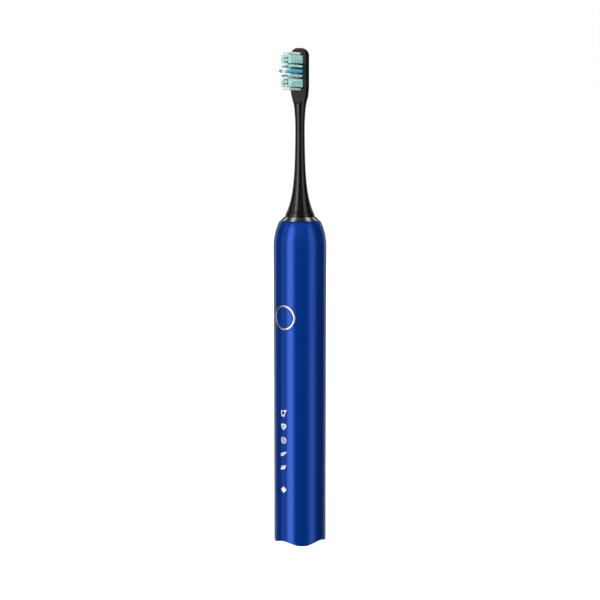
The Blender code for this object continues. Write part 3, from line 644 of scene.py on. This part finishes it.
def shoulder_radius(height):
    """Outer radius of the handle at a height."""
    rise = max(0.0, height - shoulder_start)
    return handle_radius * sqrt(1.0 - (rise / SHOULDER_REACH) ** 2)


top_radius = shoulder_radius(handle_height)
collar_top = top_radius - COLLAR_STEP - COLLAR_DRAW
collar_bore = collar_top - COLLAR_RIM
sleeve_radius = collar_bore + SLEEVE_WALL
mouth_radius = sleeve_radius + SLIDE_GAP


def rim_height(angle):
    """Height of the bottom rim: flat on the feet and arched between them."""
    rise = cos(RIM_LOBES / 2 * angle) ** 2
    flat = sin(RIM_LOBES / 2 * FOOT_HALF_ANGLE) ** 2
    return RIM_WAVE * max(0.0, rise - flat) / (1.0 - flat)


def outer_wall():
    """The tube's outside as (radius, height, share of the rim's wave), from the rim to the mouth."""
    wall = [(handle_radius - RIM_EDGE + RIM_EDGE * sin(a), RIM_EDGE - RIM_EDGE * cos(a), 1.0)
            for a in quarter(5)]
    height = TUBE_PITCH
    while height < shoulder_start:
        wall.append((handle_radius, height, max(0.0, 1.0 - height / RIM_FADE)))
        height += TUBE_PITCH
    for k in range(SHOULDER_BENDS + 1):
        z = shoulder_start + (SHOULDER_DROP - TOP_EDGE) * k / SHOULDER_BENDS
        wall.append((shoulder_radius(z), z, 0.0))
    for a in quarter(4, 1):
        radius = top_radius - TOP_EDGE + TOP_EDGE * cos(a)
        wall.append((radius, handle_height - TOP_EDGE + TOP_EDGE * sin(a), 0.0))
    return wall


def inner_wall():
    """The tube's inside as (radius, height, share of the rim's wave), from the mouth to the rim."""
    bore = handle_radius - WALL
    ceiling = handle_height - TOP_WALL
    wall = [(mouth_radius, handle_height, 0.0), (mouth_radius, ceiling, 0.0)]
    for k in range(CEILING_BENDS + 1):
        z = ceiling - (ceiling - shoulder_start) * k / CEILING_BENDS
        wall.append((shoulder_radius(z) - WALL, z, 0.0))
    wall += [(bore, z, 0.0) for z in LINER_LEVELS]
    return wall + [(bore, RIM_EDGE, 1.0), (bore + RIM_EDGE / 2, 0.0, 1.0)]


def cut_ring_hole(tube):
    """Cuts the round hole for the button's ring through the front of the tube."""
    radius = ring_high.x + RING_GAP
    reach = -20.0
    bm = bmesh.new()
    capped_grid(bm, [[(radius * cos(a), y, button_height + radius * sin(a)) for a in angles_round(96)]
                     for y in (reach, 0.0)])
    cutter = add_object("ring_hole", mesh_from("ring_hole", bm))
    cut = tube.modifiers.new("ring_hole", "BOOLEAN")
    cut.operation = "DIFFERENCE"
    cut.object = cutter
    cut.solver = "EXACT"
    apply_modifiers(tube)
    bpy.data.objects.remove(cutter, do_unlink=True)
    shade(tube.data, SHARP_ANGLE)


def smooth_tube_normals(mesh):
    """True normals on the tube's outer wall, so that the hole leaves no trace in its sheen."""
    on_surface = 0.004
    wall_low = 2.6
    wall_high = handle_height - 0.3
    facing_out = 0.6
    normals = []
    for corner, loop in zip(mesh.corner_normals, mesh.loops):
        point = mesh.vertices[loop.vertex_index].co / MM
        reach = hypot(point.x, point.y)
        normal = corner.vector.copy()
        outside = Vector((point.x, point.y, 0.0)).normalized()
        off_wall = abs(reach - shoulder_radius(min(point.z, handle_height)))
        on_wall = off_wall < on_surface and wall_low < point.z < wall_high
        if on_wall and normal.dot(outside) > facing_out:
            rise = max(0.0, point.z - shoulder_start)
            lean = handle_radius ** 2 * rise / (SHOULDER_REACH ** 2 * reach)
            normal = (outside + Vector((0.0, 0.0, lean))).normalized()
        normals.append(normal)
    mesh.normals_split_custom_set(normals)


def make_tube():
    """The blue tube: its shoulder, its wavy rim and the round hole for the button's ring."""
    section = outer_wall() + inner_wall()
    rings = []
    for angle in angles_round(TUBE_STEPS):
        rise = rim_height(angle)
        rings.append([(r * cos(angle), r * sin(angle), z + rise * share) for r, z, share in section])
    rings.append(rings[0])
    bm = bmesh.new()
    loop_grid(bm, rings)
    tube = piece_from("handle_tube", bm, "handle", "blue_metal")
    cut_ring_hole(tube)
    smooth_tube_normals(tube.data)
    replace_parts(tube, "handle_shell")


def make_collar():
    """The polished cone with its rounded lips, and its sleeve."""
    low = collar_low.z
    high = collar_high.z
    bottom = high - COLLAR_HEIGHT
    section = rounded([(collar_top, high), (collar_top + COLLAR_DRAW, bottom), (sleeve_radius, bottom),
                       (sleeve_radius, low), (collar_bore, low), (collar_bore, high)], COLLAR_EDGE)
    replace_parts(lathe("collar_cone", section, "handle", "chrome", COLLAR_STEPS), "top_collar")


def make_base():
    """The plug that closes the bottom, with the charging well in it."""
    low = cap_low.z
    outer = cap_high.x
    skirt = outer - PLUG_WALL
    groove = outer - GROOVE_DEPTH
    well = WELL_RADIUS + WELL_WALL
    well_top = low + WELL_DEPTH + WELL_WALL
    section = [(0.0, well_top), (well, well_top), (well, low + PLUG_FLOOR), (skirt, low + PLUG_FLOOR),
               (skirt, low + PLUG_SKIRT), (outer, low + PLUG_SKIRT), (outer, low + GROOVE_HIGH),
               (groove, low + GROOVE_HIGH), (groove, low + GROOVE_LOW), (outer, low + GROOVE_LOW),
               (outer, low), (WELL_RADIUS, low), (WELL_RADIUS, low + WELL_DEPTH), (0.0, low + WELL_DEPTH)]
    section = rounded(section, PLUG_EDGE, closed=False)
    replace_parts(lathe("base_plug", section, "handle", "gloss_black", closed=False), "base_cap")


# Button

def front_place(r, angle, radius, depth):
    """A place round the button, on a round front of one radius and so deep behind it."""
    x = r * cos(angle)
    return (x, depth - sqrt(radius ** 2 - x ** 2), button_height + r * sin(angle))


def flat_place(r, angle, y):
    """A place round the button, in a flat plane across Y."""
    return (r * cos(angle), y, button_height + r * sin(angle))


def make_bezel():
    """The silver ring, its front following the handle's curve with rounded lips."""
    outer = ring_high.x
    bore = key_high.x + KEY_GAP
    front = -ring_low.y
    back = ring_high.y
    band = [(bore + BEZEL_LIP * (1 - cos(a)), BEZEL_LIP * (1 - sin(a))) for a in quarter(5)]
    band += [(outer - BEZEL_LIP * (1 - cos(a)), BEZEL_LIP * (1 - sin(a))) for a in reversed(quarter(5))]
    rings = []
    for angle in angles_round(BEZEL_STEPS):
        ring = [front_place(r, angle, front, depth) for r, depth in band]
        rings.append([flat_place(bore, angle, back), *ring, flat_place(outer, angle, back)])
    rings.append(rings[0])
    bm = bmesh.new()
    loop_grid(bm, rings)
    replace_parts(piece_from("button_bezel", bm, "handle", "silver"), "button_ring")


def make_key():
    """The button's face, flush with the handle, and the stem behind it."""
    radius = key_high.x
    tip = key_high.y
    stem_start = KEY_BACK - STEM_SINK
    face = [(r, 0.0) for r in (*KEY_LEVELS, radius - KEY_LIP)]
    face += [(radius - KEY_LIP + KEY_LIP * sin(a), KEY_LIP * (1 - cos(a))) for a in quarter(5, 1)]
    back = [(radius, KEY_BACK - KEY_CHAMFER), (radius - KEY_CHAMFER, KEY_BACK), (2 * STEM_RADIUS, KEY_BACK),
            (0.0, KEY_BACK)]
    stem = [(0.0, stem_start), (STEM_RADIUS, stem_start), (STEM_RADIUS, tip - STEM_CHAMFER),
            (STEM_RADIUS - STEM_CHAMFER, tip), (0.0, tip)]
    bm = bmesh.new()
    rings = []
    for angle in angles_round(KEY_STEPS):
        rings.append([front_place(r, angle, handle_radius, depth) for r, depth in face]
                     + [flat_place(r, angle, y) for r, y in back])
    rings.append(rings[0])
    loop_grid(bm, rings, wrap=False)
    rings = [[flat_place(r, angle, y) for r, y in stem] for angle in angles_round(STEM_STEPS)]
    rings.append(rings[0])
    loop_grid(bm, rings, wrap=False)
    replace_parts(piece_from("button_key", bm, "power_button", "blue_metal"), "button_cap")


# Marks

def sides_of(corners):
    """Pairs of neighbouring corners all the way round an outline."""
    return zip(corners, corners[1:] + corners[:1])


def smooth_path(points, closed=False, rounds=2):
    """A path with its corners cut a few times."""
    for _ in range(rounds):
        made = [] if closed else [points[0]]
        for (ax, ay), (bx, by) in sides_of(points) if closed else zip(points, points[1:]):
            made.append((ax * 0.75 + bx * 0.25, ay * 0.75 + by * 0.25))
            made.append((ax * 0.25 + bx * 0.75, ay * 0.25 + by * 0.75))
        if not closed:
            made.append(points[-1])
        points = made
    return points


def oval(cx, cy, rx, ry, steps=28):
    """Points round an oval."""
    return [(cx + rx * cos(angle), cy + ry * sin(angle)) for angle in angles_round(steps)]


def on_handle(u, v, height, lift):
    """A place on the handle's front, from its distance sideways and up."""
    radius = handle_radius + lift
    angle = u * MARK_SIZE / handle_radius
    return (radius * sin(angle), -radius * cos(angle), height + v * MARK_SIZE)


def add_stroke(bm, height, points, width, closed=False):
    """A printed line of one width along a path, bent round the handle."""
    count = len(points)
    rings = []
    for i, point in enumerate(points):
        before = points[i - 1] if closed or i else point
        after = points[(i + 1) % count] if closed or i < count - 1 else point
        along = (Vector(after) - Vector(before)).normalized()
        side = Vector((-along.y, along.x)) * (width / 2)
        left = Vector(point) + side
        right = Vector(point) - side
        rings.append([on_handle(left.x, left.y, height, PRINT_SINK),
                      on_handle(left.x, left.y, height, PRINT_LIFT),
                      on_handle(right.x, right.y, height, PRINT_LIFT),
                      on_handle(right.x, right.y, height, PRINT_SINK)])
    if closed:
        loop_grid(bm, rings + rings[:1])
    else:
        capped_grid(bm, rings)


def add_patch(bm, height, points, shares, aside=0.0):
    """A filled printed shape, its middle set aside as far as up, bent round the handle."""
    rings = [[on_handle(u + aside, v + aside, height, PRINT_SINK) for u, v in points]]
    for share in shares:
        rings.append([on_handle(u * share + aside, v * share + aside, height, PRINT_LIFT) for u, v in points])
    capped_grid(bm, rings)


def tooth_mark(bm, z):
    """A tooth with a small star beside its crown."""
    outline = [(-1.55, 0.9), (-1.25, 1.45), (-0.5, 1.3), (0.0, 1.15), (0.5, 1.25), (0.85, 0.9), (0.95, 0.2),
               (0.7, -0.7), (0.55, -1.75), (0.0, -1.8), (-0.2, -0.75), (-0.55, -1.75), (-1.1, -1.7),
               (-1.25, -0.7), (-1.6, 0.2)]
    add_stroke(bm, z, smooth_path(outline, closed=True), 0.42, closed=True)
    star = []
    for angle, reach in zip(angles_round(8), 4 * (0.95, 0.36)):
        star.append((reach * cos(angle), reach * sin(angle)))
    fine = []
    for (ax, ay), (bx, by) in sides_of(star):
        fine += [(ax, ay), ((ax + bx) / 2, (ay + by) / 2)]
    add_patch(bm, z, fine, (1.0, 0.5), aside=1.35)


def gem_mark(bm, z):
    """A faceted shield with a small ring in it."""
    outline = [(-1.55, 0.55), (-1.35, 1.2), (-0.6, 1.35), (0.6, 1.35), (1.4, 1.15), (1.6, 0.45), (0.9, -0.6),
               (0.1, -1.45), (-0.1, -1.45), (-0.9, -0.6)]
    add_stroke(bm, z, smooth_path(outline, closed=True), 0.62, closed=True)
    add_stroke(bm, z, oval(0.02, 0.25, 0.42, 0.42, 20), 0.30, closed=True)
    add_stroke(bm, z, [(0.35, 0.1), (0.75, -0.1), (0.95, 0.15)], 0.26)


def ring_mark(bm, z):
    """A ring with a slanting stroke and two short curls."""
    add_stroke(bm, z, oval(0.0, 0.0, 1.6, 1.62), 0.42, closed=True)
    add_stroke(bm, z, smooth_path([(-1.0, -0.95), (-0.2, -0.2), (0.5, 0.35), (1.15, 1.1)]), 0.40)
    add_stroke(bm, z, smooth_path([(-0.85, 0.75), (-0.35, 0.35), (0.05, 0.75)]), 0.30)
    add_stroke(bm, z, smooth_path([(0.15, -0.9), (0.65, -0.55), (0.95, -0.1)]), 0.26)


def leaf_mark(bm, z):
    """A leaf with its rib, a stem and a twig."""
    outline = [(-1.95, -1.05), (-1.6, -0.2), (-0.6, 0.55), (0.6, 0.75), (0.75, 0.1), (0.0, -0.75),
               (-1.0, -1.15)]
    add_stroke(bm, z, smooth_path(outline, closed=True), 0.42, closed=True)
    add_stroke(bm, z, smooth_path([(-1.3, -0.75), (-0.3, -0.15), (0.7, 0.4)]), 0.36)
    add_stroke(bm, z, smooth_path([(0.5, 0.4), (1.2, 0.55), (2.0, 1.2)]), 0.42)
    add_stroke(bm, z, smooth_path([(0.3, 0.75), (0.9, 0.85), (1.3, 0.75)]), 0.34)


def strokes_mark(bm, z):
    """Four slanting strokes over a line."""
    for k in range(4):
        u = -1.55 + 0.82 * k
        v = -0.55 + 0.16 * k
        add_stroke(bm, z, [(u - 0.45, v - 0.85), (u, v + 0.05), (u + 0.6, v + 1.35)], 0.46)
    add_stroke(bm, z, [(-2.0, -1.3), (-0.6, -1.05), (0.6, -0.75)], 0.30)


def battery_mark(bm, z):
    """A filled diamond with slightly rounded corners."""
    corner = [(0.0, 1.95), (-1.95, 0.0), (0.0, -1.95), (1.95, 0.0)]
    sides = []
    for (ax, ay), (bx, by) in sides_of(corner):
        sides += [(ax + (bx - ax) * t, ay + (by - ay) * t) for t in (0.0, 0.14, 0.38, 0.62, 0.86)]
    add_patch(bm, z, smooth_path(sides, closed=True, rounds=1), (1.0, 0.75, 0.5, 0.25))


def make_marks():
    """The printed marks down the front: five modes and the battery."""
    modes = [("mark_tooth", tooth_mark), ("mark_gem", gem_mark), ("mark_ring", ring_mark),
             ("mark_leaf", leaf_mark), ("mark_strokes", strokes_mark)]
    places = [(name, draw, MARK_TOP - MARK_PITCH * i) for i, (name, draw) in enumerate(modes)]
    for name, draw, z in places + [("mark_battery", battery_mark, BATTERY_MARK)]:
        bm = bmesh.new()
        draw(bm, z)
        piece_from(name, bm, "handle", "light_white", white_print)


# Brush head

head_bottom = head_low.z
head_top = head_bottom + HEAD_LENGTH
head_radius = collar_bore - SLIDE_GAP
waist_height = head_bottom + WAIST_RISE
face_bottom = head_top - FACE_LENGTH
ledge_centre = face_bottom + LEDGE_RISE
crown_bottom = head_top - CROWN


def smooth_step(value):
    """Zero below 0, one above 1, and smooth between them."""
    part = min(1.0, max(0.0, value))
    return part * part * (3.0 - 2.0 * part)


def signed_power(value, power):
    """A power of a value's size, with the value's sign."""
    return abs(value) ** power * (1 if value > 0 else -1)


def squared_off(value, half, squareness):
    """Share of the height left on a squared ellipse at a place across its half width."""
    return (1.0 - (value / half) ** squareness) ** (1.0 / squareness)


def neck_radius(height):
    """Radius of the neck: a flared skirt, a waist and a slow swell towards the face."""
    flare = (head_radius + FLARE_EXTRA - NECK_RADIUS) * exp(-(height - head_bottom) / FLARE_LENGTH)
    swell = max(0.0, height - waist_height) / (face_bottom - waist_height)
    return min(head_radius, NECK_RADIUS + flare + NECK_SWELL * min(SWELL_LIMIT, swell) ** SWELL_POWER)


def head_section(height):
    """Half width, depth behind the axis, depth in front of it and squareness at a height."""
    neck = neck_radius(height)
    spread = smooth_step((height - face_bottom + SPREAD_LEAD) / (LEDGE_RISE + SPREAD_LEAD))
    half_width = neck + (FACE_HALF_WIDTH - neck) * spread
    back = neck + (HEAD_BACK - neck) * spread
    crown = max(0.0, height - crown_bottom) / CROWN
    shrink = sqrt(max(0.0, 1.0 - crown ** 2))
    back *= CROWN_BACK + (1.0 - CROWN_BACK) * shrink
    return half_width * shrink, back, neck, 2.0 + FACE_SQUARENESS * spread


def notch_half_width(height):
    """Half of the flat face's width at a height: an arch at its lower end."""
    full = FACE_HALF_WIDTH + FACE_MARGIN
    if height <= face_bottom:
        return 0.0
    if height >= ledge_centre:
        return full
    return full * sqrt(1.0 - ((ledge_centre - height) / LEDGE_RISE) ** 2)


def head_loop(height, cut=True):
    """Points round the head at a height: flat face, walls of the arch, and the round outline."""
    half_width, back, front, squareness = head_section(height)
    power = 2.0 / squareness
    plane = half_width * squared_off(FACE_OFFSET, front, squareness)
    width = min(notch_half_width(height), plane) if cut else 0.0
    wall_top = -front * squared_off(width, half_width, squareness)
    floor = -FACE_OFFSET if cut else wall_top
    flats = 16
    walls = 3
    sides = 88
    loop = [(-width + 2 * width * k / flats, floor) for k in range(flats + 1)]
    loop += [(width, floor + (wall_top - floor) * k / walls) for k in range(1, walls)]
    start = acos((width / half_width) ** (squareness / 2))
    for k in range(sides + 1):
        angle = -start + (pi + 2 * start) * k / sides
        depth = back if sin(angle) > 0 else front
        loop.append((half_width * signed_power(cos(angle), power), depth * signed_power(sin(angle), power)))
    loop += [(-width, wall_top + (floor - wall_top) * k / walls) for k in range(1, walls)]
    return [(x, y, height) for x, y in loop]


def head_levels():
    """Heights of the loops, close together where the shape turns: below the face, and from it up."""
    skirt_loops = 24
    neck_loops = 34
    arch_loops = 26
    face_loops = 14
    crown_loops = 16
    skirt = [head_bottom + SKIRT_START + SKIRT_PITCH * k for k in range(skirt_loops)]
    neck = [skirt[-1] + (face_bottom - skirt[-1]) * k / neck_loops for k in range(1, neck_loops)]
    arch = [ledge_centre - LEDGE_RISE * cos(a) for a in quarter(arch_loops, 1)]
    face = [ledge_centre + (crown_bottom - ledge_centre) * k / face_loops for k in range(1, face_loops + 1)]
    crown = [crown_bottom + (head_high.z - crown_bottom) * sin(a) for a in quarter(crown_loops, 1)]
    return skirt + neck, arch + face + crown


def make_head():
    """The black moulding: skirt, neck, flat face with its arched ledge, and the bore below."""
    plain, cut = head_levels()
    mouth = head_radius - SKIRT_WALL
    step = head_bottom + mouth - SOCKET_BORE + MOUTH_DEPTH
    bore_top = shaft_high.z + SOCKET_HEADROOM
    bore = [(BORE_CENTRE, bore_top), (SOCKET_BORE, bore_top), (SOCKET_BORE, bore_top - BORE_LOOP),
            (SOCKET_BORE, step + STEP_LOOP), (SOCKET_BORE, step), (mouth, head_bottom + MOUTH_DEPTH),
            (mouth, head_bottom + MOUTH_CHAMFER), (mouth + MOUTH_CHAMFER, head_bottom),
            (head_radius - LIP_WIDTH, head_bottom), (head_radius - LIP_SIDE, head_bottom + LIP_RISE)]
    outline = [(x / hypot(x, y), y / hypot(x, y)) for x, y, z in head_loop(plain[0], cut=False)]
    loops = [[(x * radius, y * radius, height) for x, y in outline] for radius, height in bore]
    loops += [head_loop(z, cut=False) for z in (*plain, face_bottom)]
    loops += [head_loop(z) for z in (face_bottom + LEDGE_STEP, *cut)]
    bm = bmesh.new()
    capped_grid(bm, loops)
    bmesh.ops.remove_doubles(bm, verts=bm.verts, dist=HEAD_WELD)
    bmesh.ops.dissolve_degenerate(bm, edges=bm.edges, dist=HEAD_WELD)
    head = piece_from("head_body", bm, "brush_head", "gloss_black", sharp=HEAD_SHARP_ANGLE)
    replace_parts(head, "head_shell")


# Bristles

def around_zero(reach):
    """A random value, up to a reach either way."""
    return random.uniform(-reach, reach)


def filament_places(half_x, half_z, is_round):
    """Places of the filaments in a tuft: a hexagonal pattern, slightly uneven."""
    places = []
    row_pitch = FILAMENT_PITCH * sqrt(3) / 2
    rows = int(half_z / row_pitch) + 1
    columns = int(half_x / FILAMENT_PITCH) + 1
    reach_x = half_x - FILAMENT_RADIUS
    reach_z = half_z - FILAMENT_RADIUS
    for row in range(-rows, rows + 1):
        for column in range(-columns, columns + 1):
            x = (column + 0.5 * (row % 2)) * FILAMENT_PITCH
            z = row * row_pitch
            if is_round:
                inside = hypot(x / reach_x, z / reach_z) <= 1.0
            else:
                inside = (abs(x) / reach_x) ** BLOCK_POWER + (abs(z) / reach_z) ** BLOCK_POWER <= 1.0
            if inside:
                places.append((x + around_zero(FILAMENT_SHIFT), z + around_zero(FILAMENT_SHIFT)))
    return places


def add_filament(bm, root, tip, radius):
    """One nylon filament with a rounded end."""
    bow = Vector((around_zero(FILAMENT_BOW), 0.0, around_zero(FILAMENT_BOW)))
    loops = []
    for share, swell in FILAMENT_STATIONS:
        centre = root.lerp(tip, share) + bow * (4 * share * (1 - share))
        reach = radius * swell
        loops.append([centre + Vector((reach * cos(angle), 0.0, reach * sin(angle)))
                      for angle in angles_round(FILAMENT_SIDES)])
    capped_grid(bm, loops)


def tuft_piece(node, slot, fan_x, fan_z, is_round):
    """A tuft of filaments in the place of a packed tuft, spreading by a fan towards the tips."""
    low, high = box_mm(node)
    centre = (low + high) / 2
    half_x = (high.x - low.x) / 2
    half_z = (high.z - low.z) / 2
    root_y = FILAMENT_ROOT - FACE_OFFSET
    bm = bmesh.new()
    for x, z in filament_places(half_x, half_z, is_round):
        lean_x = around_zero(FILAMENT_LEAN)
        lean_z = around_zero(FILAMENT_LEAN)
        root = Vector((centre.x + x, root_y, centre.z + z))
        tip_y = low.y + random.uniform(0.0, FILAMENT_SHORT)
        tip = Vector((centre.x + x * fan_x + lean_x, tip_y, centre.z + z * fan_z + lean_z))
        add_filament(bm, root, tip, FILAMENT_RADIUS * random.uniform(*FILAMENT_SIZES))
    name = "bristles_" + node.replace("_tuft", "")
    piece = piece_from(name, bm, "brush_head", slot, sharp=FILAMENT_SHARP_ANGLE)
    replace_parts(piece, node)


def make_bristles():
    """All nineteen tufts."""
    random.seed(7)
    for side in ("left", "right"):
        tuft_piece(f"blue_tuft_{side}", "aqua_bristle", fan_x=1.06, fan_z=1.06, is_round=True)
        for end in ("low", "high"):
            tuft_piece(f"small_tuft_{side}_{end}", "mint_bristle", fan_x=1.08, fan_z=1.08, is_round=True)
            tuft_piece(f"wide_tuft_{side}_{end}", "mint_bristle", fan_x=1.06, fan_z=1.03, is_round=False)
    for end in ("low", "high"):
        tuft_piece(f"end_tuft_{end}", "white_bristle", fan_x=1.12, fan_z=1.12, is_round=False)
        for i in (1, 2, 3):
            tuft_piece(f"middle_tuft_{end}_{i}", "white_bristle", fan_x=1.05, fan_z=1.05, is_round=True)
    tuft_piece("middle_tuft_centre", "white_bristle", fan_x=1.04, fan_z=1.04, is_round=True)


# Pieces seen when the head is off

def shaft_loop(height, share, has_flat):
    """Points round the shaft at a height, at a share of its full size."""
    radius = shaft_high.x * share
    flat = -(shaft_high.x - SHAFT_FLAT_DEPTH) * share
    points = []
    for angle in angles_round(SHAFT_STEPS):
        y = radius * sin(angle)
        points.append((radius * cos(angle), max(y, flat) if has_flat else y, height))
    return points


def make_shaft():
    """The drive shaft with the flat that keeps the head facing the front."""
    bottom = shaft_low.z
    top = shaft_high.z
    flat_start = top - SHAFT_FLAT_LENGTH
    bm = bmesh.new()
    capped_grid(bm, [shaft_loop(bottom, SHAFT_FOOT_SHARE, has_flat=False),
                     shaft_loop(bottom + SHAFT_FOOT, 1.0, has_flat=False),
                     shaft_loop(flat_start - SHAFT_RAMP, 1.0, has_flat=False),
                     shaft_loop(flat_start, 1.0, has_flat=True),
                     shaft_loop(top - SHAFT_CHAMFER, 1.0, has_flat=True),
                     shaft_loop(top, SHAFT_TIP_SHARE, has_flat=True)])
    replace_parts(piece_from("shaft_rod", bm, "drive", "steel", sharp=SHAFT_SHARP_ANGLE), "drive_shaft")


def make_seal():
    """The rubber boot round the shaft, with its rolled lip."""
    low, high = box_mm("shaft_seal")
    hole = shaft_high.x + SEAL_GAP
    outer = high.x
    boot = (outer + hole) / 2
    lip = (hole + boot) / 2
    flange = low.z + SEAL_FLANGE
    section = rounded([(lip, high.z), (boot, flange), (outer, flange), (outer, low.z), (hole, low.z),
                       (hole, high.z)], SEAL_EDGE)
    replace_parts(lathe("seal_boot", section, "handle", "dark_rubber"), "shaft_seal")


def finish_packed_nodes():
    """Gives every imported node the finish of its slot."""
    slot_of = {part["node"]: part["material_slot"] for part in frame["record"]["subparts"]}
    for name, node in frame["nodes"].items():
        node.data.materials.clear()
        node.data.materials.append(finishes[slot_of[name]])


# Stage

def aim(thing, target):
    """Turns a camera or a light towards a point."""
    direction = Vector(target) - thing.location
    thing.rotation_euler = direction.to_track_quat("-Z", "Y").to_euler()


def stage_place(turn, reach, height):
    """A place round the brush, at a turn in degrees from the camera's side."""
    angle = CAMERA_TURN + radians(turn)
    return (reach * sin(angle), -reach * cos(angle), height)


def make_camera():
    """The camera, a little above the middle of the brush and turned to its left."""
    lens = bpy.data.cameras.new("camera")
    lens.lens = CAMERA_LENS
    camera = add_object("camera", lens)
    camera.location = stage_place(0, CAMERA_REACH, CAMERA_HEIGHT)
    aim(camera, (0.0, 0.0, CAMERA_AIM))
    bpy.context.scene.camera = camera


def soft_strip(name, turn, width, power):
    """A tall soft light that stands beside the brush."""
    lamp = bpy.data.lights.new(name, "AREA")
    lamp.shape = "RECTANGLE"
    lamp.size = width
    lamp.size_y = STRIP_HEIGHT
    lamp.energy = power
    light = add_object(name, lamp)
    light.location = stage_place(turn, STRIP_REACH, STRIP_MIDDLE)
    aim(light, (0.0, 0.0, STRIP_MIDDLE))


def high_light(name, turn, rise, power, reach=HIGH_REACH, size=HIGH_SIZE):
    """A square soft light above the brush, aimed at its collar."""
    lamp = bpy.data.lights.new(name, "AREA")
    lamp.shape = "SQUARE"
    lamp.size = size
    lamp.energy = power
    light = add_object(name, lamp)
    collar = handle_height * MM
    light.location = stage_place(turn, reach * cos(radians(rise)), collar + reach * sin(radians(rise)))
    aim(light, (0.0, 0.0, collar))
    return light


def make_lights():
    """Three tall strips in front, two behind, two high lights for the collar, and two broad soft fills."""
    soft_strip("strip_left", turn=-44, width=0.46, power=6.6)
    soft_strip("strip_face", turn=-80, width=0.22, power=0.8)
    soft_strip("strip_right", turn=55, width=0.46, power=2.7)
    soft_strip("strip_back_left", turn=-140, width=0.17, power=0.9)
    soft_strip("strip_back_right", turn=140, width=0.17, power=0.7)
    high_light("high_left", turn=-104, rise=68, power=0.27)
    high_light("high_right", turn=113, rise=63, power=0.27)
    for name, turn, power in (("soft_fill", 0, 20.0), ("soft_back_fill", 180, 9.0)):
        fill = high_light(name, turn, FILL_RISE, power, FILL_REACH, FILL_SIZE)
        fill.visible_glossy = False


def make_world():
    """Even pale surroundings, brighter behind the brush than in front of it."""
    world = bpy.data.worlds.new("pale_studio")
    world.use_nodes = True
    world.node_tree.nodes.remove(world.node_tree.nodes["Background"])
    studio = Nodes(world.node_tree, "World Output")
    place = studio.node("ShaderNodeTexCoord", {}, {}, "Generated")
    behind = (-sin(CAMERA_TURN), cos(CAMERA_TURN), 0.0)
    turned = studio.node("ShaderNodeVectorMath", {"operation": "DOT_PRODUCT"}, {0: place, 1: behind}, "Value")
    strength = studio.node("ShaderNodeMapRange", {}, {"Value": turned, "From Min": 0.5, "From Max": 1.0,
                                                      "To Min": WORLD_FRONT, "To Max": WORLD_BACK})
    around = studio.node("ShaderNodeBackground", {}, {"Strength": strength})
    seen = studio.node("ShaderNodeBackground", {}, {"Color": (1.0, 1.0, 1.0, 1.0)})
    to_camera = studio.node("ShaderNodeLightPath", {}, {}, "Is Camera Ray")
    studio.feed("Surface", studio.node("ShaderNodeMixShader", {}, {0: to_camera, 1: around, 2: seen}))
    bpy.context.scene.world = world


def make_floor():
    """A wide pale floor that fades into the surroundings."""
    bm = bmesh.new()
    bmesh.ops.create_grid(bm, x_segments=FLOOR_CELLS, y_segments=FLOOR_CELLS, size=FLOOR_SIZE)
    mesh = bpy.data.meshes.new("pale_floor")
    bm.to_mesh(mesh)
    bm.free()
    paint = Finish("pale_floor", Specular_IOR_Level=0.1, Emission_Strength=1.0)
    cloud = paint.noise(scale=0.002, detail=2.0)
    paint.feed("Base Color", paint.blend(cloud, (0.80, 0.80, 0.80), (0.84, 0.84, 0.84)))
    paint.feed("Emission Color", paint.blend(cloud, (0.97, 0.97, 0.97), (1.0, 1.0, 1.0)))
    paint.feed("Roughness", 0.7 + cloud * 0.2)
    mesh.materials.append(paint.material)
    floor = add_object("pale_floor", mesh)
    floor.visible_glossy = False
    floor.visible_diffuse = False
    floor.visible_shadow = False


make_camera()
make_world()
make_lights()
make_floor()
finish_packed_nodes()
make_tube()
make_collar()
make_base()
make_bezel()
make_key()
make_marks()
make_head()
make_bristles()
make_shaft()
make_seal()

bpy.context.scene.view_settings.view_transform = "Standard"
